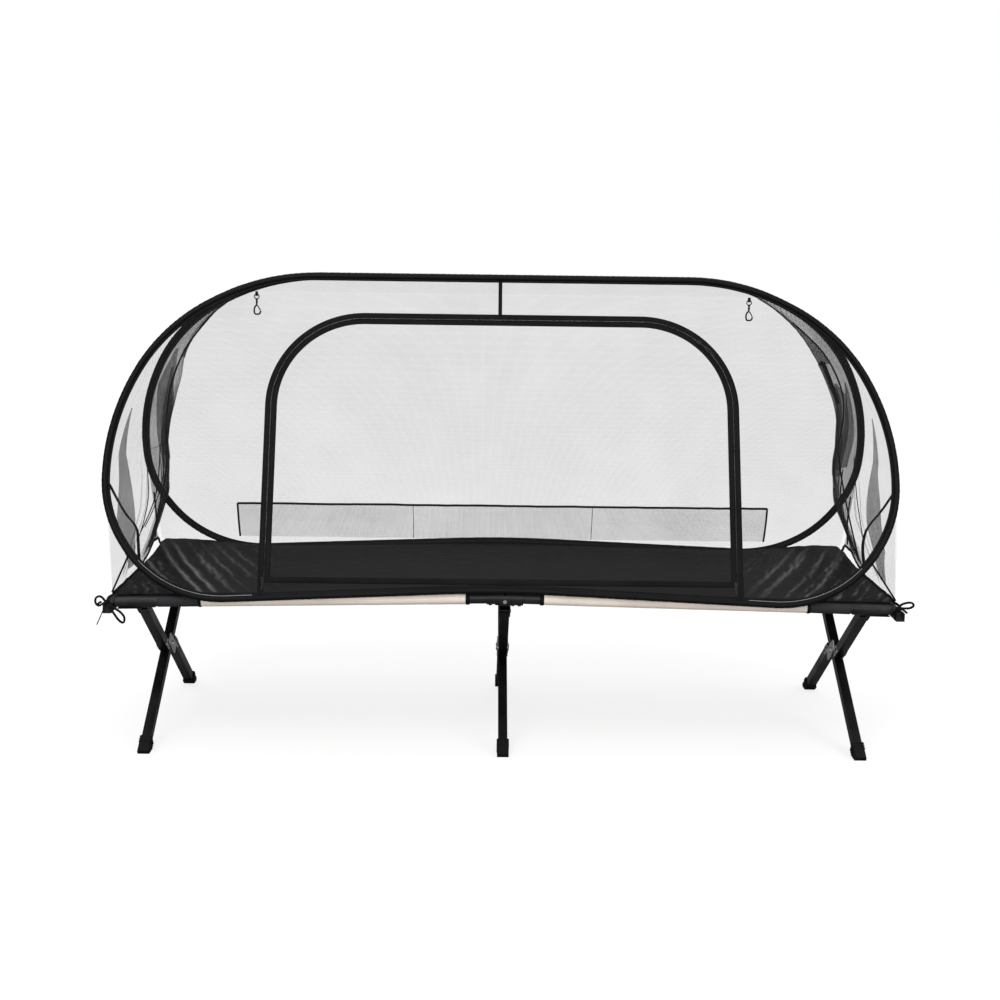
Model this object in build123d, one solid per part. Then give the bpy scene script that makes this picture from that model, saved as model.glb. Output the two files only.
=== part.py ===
from build123d import *
import math
import os

# Folding camp cot with a spring-hoop net tent on top. Millimetres, +Z up, +X along the bed.
# The origin is on the floor, under the middle of the bed. "Front" is -Y, "left" is -X.

# ---- driving dimensions -------------------------------------------------------------
RAIL_REACH = 950.0        # rail end, from the middle of the bed
RAIL_Y = 298.0            # rail axis, from the middle of the bed
RAIL_END_Z = 379.0        # height of the rail axis at its end
RAIL_MID_Z = 398.0        # height of the rail axis at the centre hinge
RAIL_R = 14.0
RAIL_WALL = 1.5
LEG_X = 887.0             # end leg sets, from the middle of the bed
FOOT_Y = 320.0            # where a leg's axis meets the floor
LEG = 23.0                # square tube of the straight legs
CUT_LEG = 24.0            # square tube of the legs that are cut at the crossing
LEG_WALL = 1.6
CUT_OFFSET = 22.0         # each half of a cut leg stands this far off the leg's axis
CUT_START = 34.0          # a cut half starts this far from the crossing
LEG_TOP_GAP = 19.0        # from a leg's top end to the rail axis
PLATE = 2.5               # zinc plates at the crossing
PIVOT_R = 4.0
RIVET_R = 2.9
RUN = 0.06                # radial clearance of a running fit
FIT = 0.05                # radial clearance of a rivet in its hole
CLOTH = 1.5               # sling cloth
CLOTH_GAP = 0.3
SLEEVE_START = 90.0       # the sling's sleeves leave the centre hinge bare
SLING_SEAM = 745.0        # beige sling up to here, black end panels beyond
BAR_X = 965.0             # end spreader bars
BAR_Z = 367.0
BAR = 20.0
BAR_WALL = 1.5
BAR_REACH = 333.0
PIN_R = 3.0
TENT_BASE_Y = 322.0       # hoop plane at the reference height TENT_BASE_Z
TENT_BASE_Z = 400.0
TENT_TOP_Y = 11.0
TENT_TOP_Z = 1170.0
HOOP_R = 8.0
HOOP_WIRE_R = 3.0
HOOP_BORE_R = 4.0
FRONT_HALF = 980.0        # half width of the front hoop
BACK_HALF = 976.0         # half width of the back hoop
FRONT_SHIFT = -10.0       # the front hoop sits a little to the left
NET = 2.0                 # thickness of the net panels
NET_GAP = 0.4
FLOOR_X = 958.0           # tent floor corner
FLOOR_Y = 305.0
DOOR_HALF = 578.0         # zip line of the door, from its own centre
DOOR_TOP = 713.0          # up the slope of the hoop plane
DOOR_R = 230.0
DOOR_BOTTOM = 34.0
BAND = 15.0               # fabric band each side of the zip line
ZIP_GAP = 0.3
POCKET_HALF = 738.0
POCKET_LOW = 32.0
POCKET_TOP = 141.0
HOOK_X = 628.0

# ---- derived places -----------------------------------------------------------------
BOW = RAIL_MID_Z - RAIL_END_Z
TILT = math.atan2(BOW, RAIL_REACH)
HALF_LENGTH = RAIL_REACH / math.cos(TILT)
LEG_SLOPE = math.atan2(RAIL_END_Z, FOOT_Y + RAIL_Y)
PIVOT_Z = FOOT_Y * math.tan(LEG_SLOPE)
LEG_REACH = RAIL_Y / math.cos(LEG_SLOPE)
FOOT_REACH = FOOT_Y / math.cos(LEG_SLOPE)
CUT_SLOPE = LEG_SLOPE + math.asin(CUT_OFFSET / FOOT_REACH)
CUT_REACH = math.sqrt(LEG_REACH**2 - CUT_OFFSET**2)
CUT_FOOT_REACH = math.sqrt(FOOT_REACH**2 - CUT_OFFSET**2)
LEG_STATIONS = {"left": -LEG_X, "centre": 0.0, "right": LEG_X}
SIDES = {"left": -1, "right": 1}
LEAN_Y = TENT_BASE_Y - TENT_TOP_Y
LEAN_Z = TENT_TOP_Z - TENT_BASE_Z
SLANT = math.hypot(LEAN_Y, LEAN_Z)
LEAN_COS = LEAN_Z / SLANT
LEAN_SIN = LEAN_Y / SLANT
HOOP_TOP = SLANT - 4.0
SLEEVE_IN = RAIL_R + CLOTH_GAP
SLEEVE_OUT = SLEEVE_IN + CLOTH

os.makedirs("parts", exist_ok=True)


def node(name, *pieces):
    """Write one node: every piece is a solid of its own."""
    solids = [solid for piece in pieces for solid in piece.solids()]
    export_step(Compound(children=solids) if len(solids) > 1 else solids[0], f"parts/{name}.step")
    volume = sum(solid.volume for solid in solids)
    print(f"{name}: {len(solids)} solids, {volume:.0f} mm3")


def rod(start, end, radius):
    """Round rod between two points."""
    run = Vector(*end) - Vector(*start)
    return Plane(origin=start, z_dir=run) * extrude(Circle(radius), run.length)


def box(low, high):
    """Box between its lowest and highest corners."""
    size = [b - a for a, b in zip(low, high)]
    return Pos(*[(a + b) / 2 for a, b in zip(low, high)]) * Box(*size)


def both_ends(shape):
    """The shape at +X with its mirror image at -X."""
    return [shape, mirror(shape, about=Plane.YZ)]


def rail_z(x):
    return RAIL_MID_Z - BOW * abs(x) / RAIL_REACH


# ---- frames in which pieces are drawn -----------------------------------------------
def rail_plane(side, row):
    """Along one rail half, outward from the centre; row is -1 for front and 1 for back."""
    out = (side * math.cos(TILT), 0, -math.sin(TILT))
    up = (side * math.sin(TILT), 0, math.cos(TILT))
    return Plane(origin=(0, row * RAIL_Y, RAIL_MID_Z), x_dir=out, z_dir=up)


def straight_plane(x):
    """Along a straight leg: local x from front foot to back rail, local y up and forward."""
    along = (0, math.cos(LEG_SLOPE), math.sin(LEG_SLOPE))
    return Plane(origin=(x, 0, PIVOT_Z), x_dir=along, z_dir=(1, 0, 0))


def cut_plane(x):
    """Along a cut leg: local x from back foot to front rail, local y up and back."""
    along = (0, -math.cos(CUT_SLOPE), math.sin(CUT_SLOPE))
    return Plane(origin=(x, 0, PIVOT_Z), x_dir=along, z_dir=(-1, 0, 0))


def hoop_plane(shift):
    """The front hoop's leaning plane: local x along the bed, local y up the slope."""
    origin = (shift, -TENT_BASE_Y, TENT_BASE_Z)
    return Plane(origin=origin, x_dir=(1, 0, 0), z_dir=(0, -LEAN_COS, LEAN_SIN))


FRONT_PLANE = hoop_plane(FRONT_SHIFT)
BACK_PLANE = hoop_plane(0.0)          # mirrored to the back after drawing


# ---- rails --------------------------------------------------------------------------
def along_rail(side, row, start, end, outer, inner, low_half_below=None):
    """Ring section on a rail axis from start to end; optionally only its lower part."""
    ring = Circle(outer) - Circle(inner) if inner else Circle(outer)
    piece = Rot(0, 90, 0) * extrude(ring, end - start)
    piece = Pos(start, 0, 0) * piece
    if low_half_below is not None:
        size = 4 * outer
        upper = Pos((start + end) / 2, 0, low_half_below + size / 2) * Box(2 * (end - start), size, size)
        piece = piece - upper
    return rail_plane(side, row) * piece


def rail_halves(row_name, row):
    for name, side in SIDES.items():
        tube = along_rail(side, row, 3.0, HALF_LENGTH, RAIL_R, RAIL_R - RAIL_WALL)
        node(f"{row_name}_rail_{name}", tube)


def rail_end_plugs(row):
    """Plug in each rail end, with a lobe that carries the pin for the end bar."""
    drop = RAIL_END_Z - BAR_Z
    plugs = []
    for side in SIDES.values():
        plug = along_rail(side, row, HALF_LENGTH - 22, HALF_LENGTH + 1, RAIL_R - RAIL_WALL - FIT, 0)
        lobe = make_hull(Circle(RAIL_R).edges() + (Pos(0, -drop) * Circle(6)).edges())
        face = Plane(origin=(side * (RAIL_REACH + 0.6), row * RAIL_Y, RAIL_END_Z), x_dir=(0, side, 0),
                     z_dir=(side, 0, 0))
        flange = face * extrude(lobe, 2.4)
        y = row * RAIL_Y
        pin = rod((side * (RAIL_REACH + 1), y, BAR_Z), (side * (BAR_X + 7), y, BAR_Z), PIN_R)
        plugs.append(plug + flange + pin)
    return plugs


HINGE_PIN_DROP = 6.0      # hinge pin below the rail axis
LEAF_LENGTH = 45.0
LEAF_LAP = 8.0
INNER_LEAF_R = RAIL_R + 0.5
OUTER_LEAF_R = INNER_LEAF_R + 2.1
STRAP_R = OUTER_LEAF_R + 2.2          # centre leg bracket, outside both hinge leaves
STRAP = 2.0
HINGE_PIN_R = 2.5
HINGE_PIN_HALF = STRAP_R + STRAP


def hinge_bore(row, radius):
    z = RAIL_MID_Z - HINGE_PIN_DROP
    return rod((0, row * RAIL_Y - 40, z), (0, row * RAIL_Y + 40, z), radius)


def hinge_leaves(row):
    """Two saddles that overlap round the pin, one under each rail half."""
    leaves = []
    for side, radius in ((-1, INNER_LEAF_R), (1, OUTER_LEAF_R)):
        leaf = along_rail(side, row, -LEAF_LAP, LEAF_LENGTH, radius + 1.5, radius, low_half_below=8.0)
        leaves.append(leaf - hinge_bore(row, HINGE_PIN_R + FIT))
    return leaves


def hinge_pin(row):
    z = RAIL_MID_Z - HINGE_PIN_DROP
    y = row * RAIL_Y
    shank = rod((0, y - HINGE_PIN_HALF, z), (0, y + HINGE_PIN_HALF, z), HINGE_PIN_R)
    heads = []
    for end in (-1, 1):
        heads.append(rod((0, y + end * HINGE_PIN_HALF, z), (0, y + end * (HINGE_PIN_HALF + 1.6), z), 4.5))
    return shank + heads


def leaf_rivets(row):
    """Low heads at the foot of each hinge leaf."""
    rivets = []
    for side, radius in ((-1, INNER_LEAF_R + 1.5), (1, OUTER_LEAF_R + 1.5)):
        for reach in (20.0, 36.0):
            head = Pos(reach, 0, -radius - 1.0) * Cylinder(4.0, 2.0)
            rivets.append(rail_plane(side, row) * head)
    return rivets


# ---- leg brackets on the rails ------------------------------------------------------
def leg_top(row):
    """Where a leg's top end stands along its own axis."""
    return (LEG_REACH if row > 0 else CUT_REACH) - LEG_TOP_GAP


def leg_bracket(x, row):
    """Saddle under the rail with a cheek each side of the leg top."""
    plane = straight_plane(x) if row > 0 else cut_plane(x)
    leg_width = LEG if row > 0 else CUT_LEG
    offset = 0.0 if row > 0 else -CUT_OFFSET
    centre = x == 0
    inner = STRAP_R if centre else RAIL_R + 0.1
    top = leg_top(row)
    axis = plane.to_local_coords(Vector(x, row * RAIL_Y, rail_z(x)))
    grip = Pos(top - 14, offset) * Rectangle(24, leg_width)
    wrap = Pos(axis.X, axis.Y) * Circle(inner + (STRAP if centre else STRAP / 2))
    outline = make_hull(grip.edges() + wrap.edges())
    cheek = extrude(outline, STRAP)
    reach = leg_width / 2 + 0.2
    cheeks = plane * (Pos(0, 0, reach) * cheek + Pos(0, 0, -reach - STRAP) * cheek)
    y, z = row * RAIL_Y, rail_z(x)
    clear = rod((x - 60, y, z), (x + 60, y, z), inner + (0.35 if centre else 0.6))
    over = box((x - 60, y - 40, z + 7), (x + 60, y + 40, z + 40))
    cheeks = cheeks - clear - over
    if centre:
        half = reach + STRAP
        ring = rod((-half, y, z), (half, y, z), inner + STRAP) - rod((-half, y, z), (half, y, z), inner)
        saddle = ring - over
        bracket = cheeks + saddle - hinge_bore(row, HINGE_PIN_R + FIT)
    else:
        side = 1 if x > 0 else -1
        saddle = along_rail(side, row, LEG_X - 32, LEG_X + 32, inner + STRAP, inner, low_half_below=6.0)
        strip = Pos((LEG_X + RAIL_REACH - 4) / 2, 0, -inner - STRAP) * Box(RAIL_REACH - LEG_X - 4, 20, 2.2)
        bracket = cheeks + saddle + rail_plane(side, row) * strip
    hole = plane * (Pos(top - 14, offset) * Cylinder(RIVET_R + FIT, 60))
    return bracket - hole


def leg_rivet(x, row):
    """Rivet along X through a bracket's cheeks and the leg top."""
    plane = straight_plane(x) if row > 0 else cut_plane(x)
    leg_width = LEG if row > 0 else CUT_LEG
    offset = 0.0 if row > 0 else -CUT_OFFSET
    half = leg_width / 2 + 0.2 + STRAP
    return through_rivet(plane, leg_top(row) - 14, offset, half, RIVET_R, 4.6, 1.6)


def through_rivet(plane, along, across, half, radius, head_r, head):
    """Rivet normal to a leg's plane, with a head on each side."""
    shank = Cylinder(radius, 2 * half)
    heads = [Pos(0, 0, s * (half + head / 2)) * Cylinder(head_r, head) for s in (-1, 1)]
    return plane * (Pos(along, across) * (shank + heads))


# ---- legs ---------------------------------------------------------------------------
FOOT_CAP = 29.0
FOOT_CAP_LENGTH = 46.0
FOOT_SOLE = 6.0
FOOT_TOE = 5.0


def square_tube(start, end, width, across=0.0):
    length = end - start
    outer = Box(length, width, width)
    inner = Box(length + 20, width - 2 * LEG_WALL, width - 2 * LEG_WALL)
    return Pos((start + end) / 2, across, 0) * (outer - inner)


def above(shape, z):
    return shape - box((-1200, -600, z - 200), (1200, 600, z))


def bores(plane, spots, radius):
    return [plane * (Pos(along, across) * Cylinder(radius, 80)) for along, across in spots]


def straight_leg(x):
    plane = straight_plane(x)
    tube = plane * square_tube(-FOOT_REACH, leg_top(1), LEG)
    spots = bores(plane, [(leg_top(1) - 14, 0)], RIVET_R + FIT)
    pivot = bores(plane, [(0, 0)], PIVOT_R + FIT)
    return above(tube, FOOT_SOLE) - spots - pivot


PAD_RIVETS = (CUT_START + 9, CUT_START + 30)


def cut_leg_half(x, upper):
    """Upper or lower half of a cut leg, offset to its own side of the leg axis."""
    plane = cut_plane(x)
    if upper:
        tube = square_tube(CUT_START, leg_top(-1), CUT_LEG, -CUT_OFFSET)
        spots = [(along, -CUT_OFFSET) for along in PAD_RIVETS]
        spots.append((leg_top(-1) - 14, -CUT_OFFSET))
    else:
        tube = square_tube(-CUT_FOOT_REACH, -CUT_START, CUT_LEG, CUT_OFFSET)
        spots = [(-along, CUT_OFFSET) for along in PAD_RIVETS]
    return above(plane * tube, FOOT_SOLE) - bores(plane, spots, RIVET_R + FIT)


def foot_cap(plane, reach, across, width):
    """Rubber cap with a socket for the leg, square at its end, with a flat sole on the floor."""
    start = -reach - FOOT_TOE
    end = -reach + FOOT_CAP_LENGTH
    body = Box(end - start, FOOT_CAP, FOOT_CAP)
    body = fillet(body.edges().filter_by(Axis.X), 3.0)
    rib = Box(3.0, FOOT_CAP + 1.6, FOOT_CAP + 1.6)
    shape = Pos((start + end) / 2, across, 0) * body
    ribs = [Pos(end - gap, across, 0) * rib for gap in (4, 12, 20)]
    shape = above(plane * (shape + ribs), 0.0)
    socket = Pos(end / 2 - reach / 2 + 10, across, 0) * Box(end + reach + 20, width + 0.02, width + 0.02)
    return shape - above(plane * socket, FOOT_SOLE)


def pivot_plate(x, side):
    """Flat plate that joins the two halves of a cut leg across the pivot."""
    web = Rectangle(2 * CUT_START + 16, 30)
    pad_mid = (PAD_RIVETS[0] + PAD_RIVETS[1]) / 2
    pad = RectangleRounded(PAD_RIVETS[1] - PAD_RIVETS[0] + 15, 20, 4)
    outline = web + Pos(pad_mid, -CUT_OFFSET) * pad + Pos(-pad_mid, CUT_OFFSET) * pad
    notch = Circle(9)
    outline = outline - Pos(CUT_START + 10, 20) * notch - Pos(-CUT_START - 10, -20) * notch
    outline = outline - Circle(PIVOT_R + RUN)
    for along in PAD_RIVETS:
        outline = outline - Pos(along, -CUT_OFFSET) * Circle(RIVET_R + FIT)
        outline = outline - Pos(-along, CUT_OFFSET) * Circle(RIVET_R + FIT)
    inner = CUT_LEG / 2 if side > 0 else -CUT_LEG / 2 - PLATE
    return cut_plane(x) * (Pos(0, 0, inner) * extrude(outline, PLATE))


def plate_rivets(x):
    half = CUT_LEG / 2 + PLATE
    spots = []
    for along in PAD_RIVETS:
        spots.append((along, -CUT_OFFSET))
        spots.append((-along, CUT_OFFSET))
    return [through_rivet(cut_plane(x), a, b, half, RIVET_R, 4.4, 1.6) for a, b in spots]


def pivot_rivet(x):
    half = CUT_LEG / 2 + PLATE + 0.3
    return through_rivet(straight_plane(x), 0, 0, half, PIVOT_R, 8.0, 2.6)


# ---- sling --------------------------------------------------------------------------
def sling_section(start, end, sleeve_start, sleeve_end):
    """Both halves of the sling between two stations: flat top and a sleeve on each rail."""
    pieces = []
    for side in SIDES.values():
        flat = Pos((start + end) / 2, 0, SLEEVE_IN + CLOTH / 2) * Box(end - start, 2 * RAIL_Y, CLOTH)
        middle = rail_plane(side, 1)
        middle = Plane(origin=(0, 0, RAIL_MID_Z), x_dir=middle.x_dir, z_dir=middle.z_dir)
        piece = middle * flat
        for row in (-1, 1):
            piece = piece + along_rail(side, row, sleeve_start, sleeve_end, SLEEVE_OUT, SLEEVE_IN)
        pieces.append(piece)
    return pieces


def sling_binding(side, row, start, width):
    """Binding tape round a sleeve's edge."""
    inner = SLEEVE_OUT + 0.1
    return along_rail(side, row, start, start + width, inner + 1.2, inner, low_half_below=13.5)


# ---- end bars -----------------------------------------------------------------------
def end_bar(side):
    """Square tube whose inner wall has a pin hole at the back and an open notch in front."""
    outer = Box(BAR, 2 * BAR_REACH, BAR)
    inner = Box(BAR - 2 * BAR_WALL, 2 * BAR_REACH + 20, BAR - 2 * BAR_WALL)
    tube = Pos(side * BAR_X, 0, BAR_Z) * (outer - inner)
    near = side * (BAR_X - BAR / 2 - 5)
    far = side * (BAR_X + BAR / 2 - BAR_WALL - 0.4)
    hole = rod((near, RAIL_Y, BAR_Z), (far, RAIL_Y, BAR_Z), PIN_R + 0.4)
    drop = BAR_Z - PIVOT_Z
    lift = math.degrees(math.atan2(RAIL_Y, drop))
    width = 2 * PIN_R + 1.6
    slot = Pos(0, 20, 0) * Box(abs(far - near), 40, width)
    slot = Pos((near + far) / 2, -RAIL_Y, BAR_Z) * Rot(lift, 0, 0) * slot
    seat = rod((near, -RAIL_Y, BAR_Z), (far, -RAIL_Y, BAR_Z), width / 2)
    return tube - hole - slot - seat


def end_bar_plugs(side):
    plugs = []
    for row in (-1, 1):
        inside = BAR - 2 * BAR_WALL - 0.1
        stem = Pos(side * BAR_X, row * (BAR_REACH - 8), BAR_Z) * Box(inside, 16, inside)
        cap = Pos(side * BAR_X, row * (BAR_REACH + 1), BAR_Z) * Box(BAR, 2, BAR)
        plugs.append(stem + cap)
    return plugs


# ---- tent: hoops --------------------------------------------------------------------
def hoop_corners(half):
    """Corners and arc radii of the closed hoop outline, anticlockwise from the bottom's middle."""
    squeeze = half - FRONT_HALF
    right = [
        (834 + squeeze, -15, 290),
        (980 + squeeze, 210, 305),
        (980 + squeeze, 436, 570),
        (863 + squeeze, 685, 440),
        (610 + squeeze, HOOP_TOP, 530),
    ]
    left = [(-x, v, r) for x, v, r in reversed(right)]
    return [(0, 24, 3000), *right, *left]


def rounded_outline(corners, grow=0.0):
    """Closed path of runs and arcs through anticlockwise corners, moved outward by a distance."""
    points = []
    radii = []
    for i, (x, v, radius) in enumerate(corners):
        here = Vector(x, v)
        before = (here - Vector(*corners[i - 1][:2])).normalized()
        after = (Vector(*corners[(i + 1) % len(corners)][:2]) - here).normalized()
        normal_a = Vector(before.Y, -before.X)
        normal_b = Vector(after.Y, -after.X)
        move = (normal_a + normal_b) * (grow / (1 + normal_a.dot(normal_b)))
        turn = before.cross(after).Z
        points.append(here + move)
        radii.append(radius + (grow if turn > 0 else -grow) if radius else 0)
    return FilletPolyline(*points, radius=radii, close=True)


def hoop_path(half):
    return rounded_outline(hoop_corners(half))


def hoop_tube(half, outer, inner):
    path = hoop_path(half)
    start = path @ 0.5
    section = Plane(origin=start, z_dir=path % 0.5)
    ring = Circle(outer) - Circle(inner) if inner else Circle(outer)
    return sweep(section * ring, path=path)


def hoop_face(half, grow):
    return make_face(rounded_outline(hoop_corners(half), grow).edges())


def net_sheet(plane, outline):
    """A flat net panel, centred on its plane."""
    return plane * (Pos(0, 0, -NET / 2) * extrude(outline, NET))


# ---- tent: door ---------------------------------------------------------------------
def door_outline(grow):
    """Arched door outline grown by a distance; its bottom runs out below the hoop."""
    half = DOOR_HALF + grow
    top = DOOR_TOP + grow
    radius = DOOR_R + grow
    points = [(-half, -100), (half, -100), (half, top), (-half, top)]
    return make_face(FilletPolyline(*points, radius=[0, 0, radius, radius], close=True).edges())


def half_plane(low, high):
    """Everything in the hoop plane between two heights up the slope."""
    return Pos(0, (low + high) / 2) * Rectangle(3000, high - low)


# ---- build: root frame --------------------------------------------------------------
rail_halves("back", 1)
node("back_rail_end_plugs", *rail_end_plugs(1))
node("back_hinge_leaves", *hinge_leaves(1))
node("back_hinge_pin", hinge_pin(1))
node("back_leg_brackets", *[leg_bracket(x, 1) for x in LEG_STATIONS.values()])
node("back_rail_rivets", *leaf_rivets(1), *[leg_rivet(x, 1) for x in LEG_STATIONS.values()])
for place, station in LEG_STATIONS.items():
    node(f"straight_leg_{place}", straight_leg(station))
node("front_foot_caps", *[foot_cap(straight_plane(x), FOOT_REACH, 0.0, LEG) for x in LEG_STATIONS.values()])
node("pivot_rivets", *[pivot_rivet(x) for x in LEG_STATIONS.values()])

beige = sling_section(-0.5, SLING_SEAM, SLEEVE_START, SLING_SEAM)
node("sling", beige[0] + beige[1])
black = sling_section(SLING_SEAM, HALF_LENGTH, SLING_SEAM, HALF_LENGTH)
below_rail = Box(2 * (RAIL_REACH - LEG_X + 35), 900, 40)
ends = []
for half_panel, side in zip(black, SIDES.values()):
    cut = Pos(side * RAIL_REACH, 0, rail_z(LEG_X) - 20 + 8) * below_rail
    ends.append(half_panel - cut)
node("sling_ends", *ends)
tapes = []
for side in SIDES.values():
    for row in (-1, 1):
        tapes.append(sling_binding(side, row, SLING_SEAM - 4, 8.0))
        tapes.append(sling_binding(side, row, SLEEVE_START - 5, 11.0))
node("sleeve_bindings", *tapes)

# ---- build: swinging frame ----------------------------------------------------------
rail_halves("front", -1)
node("front_rail_end_plugs", *rail_end_plugs(-1))
node("front_hinge_leaves", *hinge_leaves(-1))
node("front_hinge_pin", hinge_pin(-1))
node("front_leg_brackets", *[leg_bracket(x, -1) for x in LEG_STATIONS.values()])
node("front_rail_rivets", *leaf_rivets(-1), *[leg_rivet(x, -1) for x in LEG_STATIONS.values()])
for place, station in LEG_STATIONS.items():
    node(f"cut_leg_upper_{place}", cut_leg_half(station, True))
    node(f"cut_leg_lower_{place}", cut_leg_half(station, False))
plates = [pivot_plate(x, side) for x in LEG_STATIONS.values() for side in SIDES.values()]
node("pivot_plates", *plates)
node("plate_rivets", *[rivet for x in LEG_STATIONS.values() for rivet in plate_rivets(x)])
back_caps = [foot_cap(cut_plane(x), CUT_FOOT_REACH, CUT_OFFSET, CUT_LEG) for x in LEG_STATIONS.values()]
node("back_foot_caps", *back_caps)

# ---- build: end bars ----------------------------------------------------------------
for name, side in SIDES.items():
    node(f"end_bar_{name}", end_bar(side))
    node(f"end_bar_plugs_{name}", *end_bar_plugs(side))

# ---- build: tent --------------------------------------------------------------------
front_sleeve = FRONT_PLANE * hoop_tube(FRONT_HALF, HOOP_R, HOOP_BORE_R)
back_sleeve = mirror(BACK_PLANE * hoop_tube(BACK_HALF, HOOP_R, HOOP_BORE_R), about=Plane.XZ)
node("front_hoop_sleeve", front_sleeve)
node("back_hoop_sleeve", back_sleeve)
front_wire = FRONT_PLANE * hoop_tube(FRONT_HALF, HOOP_WIRE_R, 0)
back_wire = mirror(BACK_PLANE * hoop_tube(BACK_HALF, HOOP_WIRE_R, 0), about=Plane.XZ)
node("hoop_wires", front_wire, back_wire)
ridge_low = TENT_TOP_Z - 4 * LEAN_COS
node("ridge_binding", box((-350, -2.2, ridge_low - 7), (350, 2.2, ridge_low + 7)))

inside_front = hoop_face(FRONT_HALF, -HOOP_R - NET_GAP)
inside_back = hoop_face(BACK_HALF, -HOOP_R - NET_GAP)
door_gap = door_outline(BAND + NET_GAP)
node("front_net", net_sheet(FRONT_PLANE, (inside_front - door_gap) & half_plane(-60, 900)))
node("back_net", mirror(net_sheet(BACK_PLANE, inside_back), about=Plane.XZ))
door_ring = (door_outline(BAND) - (door_outline(ZIP_GAP) & half_plane(DOOR_BOTTOM - 0.4, 900))) & inside_front
node("door_frame_band", net_sheet(FRONT_PLANE, door_ring))
flap = half_plane(DOOR_BOTTOM, 900)
tape_inner = door_outline(-BAND) & half_plane(DOOR_BOTTOM + BAND, 900)
node("door_band", net_sheet(FRONT_PLANE, (door_outline(-ZIP_GAP) & flap) - tape_inner))
door_inside = door_outline(-BAND - NET_GAP) & half_plane(DOOR_BOTTOM + BAND + NET_GAP, 900)
node("door_net", net_sheet(FRONT_PLANE, door_inside))

floor_top = SLEEVE_OUT + 2.3
floor_halves = []
for side in SIDES.values():
    spine = rail_plane(side, 1)
    middle = Plane(origin=(0, 0, RAIL_MID_Z), x_dir=spine.x_dir, z_dir=spine.z_dir)
    reach = FLOOR_X / math.cos(TILT)
    slab = Pos(reach / 2 - 0.5, 0, floor_top - 0.75) * Box(reach + 1, 2 * FLOOR_Y, 1.5)
    floor_halves.append(middle * slab)
node("tent_floor", floor_halves[0] + floor_halves[1])


def slope_z(v):
    return TENT_BASE_Z + v * LEAN_COS


def end_corners():
    """The end nets' outline seen along Y: down the hoop's shoulder, then straight to the floor."""
    right = [
        (FLOOR_X + 2, rail_z(FLOOR_X) + floor_top + 1.6, 0),
        (978, slope_z(345), 300),
        (978, slope_z(436), 300),
        (861, slope_z(685), 350),
        (610, slope_z(HOOP_TOP), 400),
    ]
    left = [(-x, z, r) for x, z, r in reversed(right)]
    return [*right, *left]


outer_shell = make_face(rounded_outline(end_corners()).edges())
inner_shell = make_face(rounded_outline(end_corners(), -NET).edges())
shell = outer_shell - inner_shell
shell = Plane.XZ * extrude(shell, 400, both=True)
wedge_foot = TENT_BASE_Y + LEAN_SIN / LEAN_COS * 10 - 12
wedge_top = TENT_TOP_Y - 10.5
wedge_peak = slope_z(HOOP_TOP) + 8
wedge_points = [(-wedge_foot, 390), (wedge_foot, 390), (wedge_top, wedge_peak), (-wedge_top, wedge_peak)]
wedge = Plane.YZ * extrude(make_face(Polyline(*wedge_points, close=True)), 1200, both=True)
end_floor = rail_z(FLOOR_X) + floor_top + 4
for name, side in SIDES.items():
    near, far = sorted((side * 380, side * 1100))
    keep = box((near, -600, end_floor), (far, 600, 1300))
    node(f"end_net_{name}", shell & wedge & keep)


def corner_gusset(half, shift, side):
    """Panel that fills a lower corner between the hoop and the floor corner."""
    corner = [(600 * side, 2), ((FLOOR_X - 3) * side, 2), (974 * side, 345), (600 * side, 345)]
    outline = make_face(Polyline(*corner, close=True)) - Pos(shift, 0) * hoop_face(half, HOOP_R + NET_GAP)
    return net_sheet(hoop_plane(0.0), outline)


gussets = []
for side in SIDES.values():
    gussets.append(corner_gusset(FRONT_HALF, FRONT_SHIFT, side))
    gussets.append(mirror(corner_gusset(BACK_HALF, 0.0, side), about=Plane.XZ))
node("corner_gussets", *gussets)

pocket = Pos(0, (POCKET_LOW + POCKET_TOP) / 2) * Rectangle(2 * POCKET_HALF, POCKET_TOP - POCKET_LOW)
pocket_panel = BACK_PLANE * (Pos(0, 0, -5.0) * extrude(pocket, 1.5))
node("mesh_pocket", mirror(pocket_panel, about=Plane.XZ))
strap_low = DOOR_TOP + BAND + 1
strap_high = HOOP_TOP - HOOP_R - 1
strap = Pos(-8, (strap_low + strap_high) / 2) * Rectangle(10, strap_high - strap_low)
node("centre_strap", FRONT_PLANE * (Pos(0, 0, NET / 2 + 0.2) * extrude(strap, 1.2)))

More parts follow.
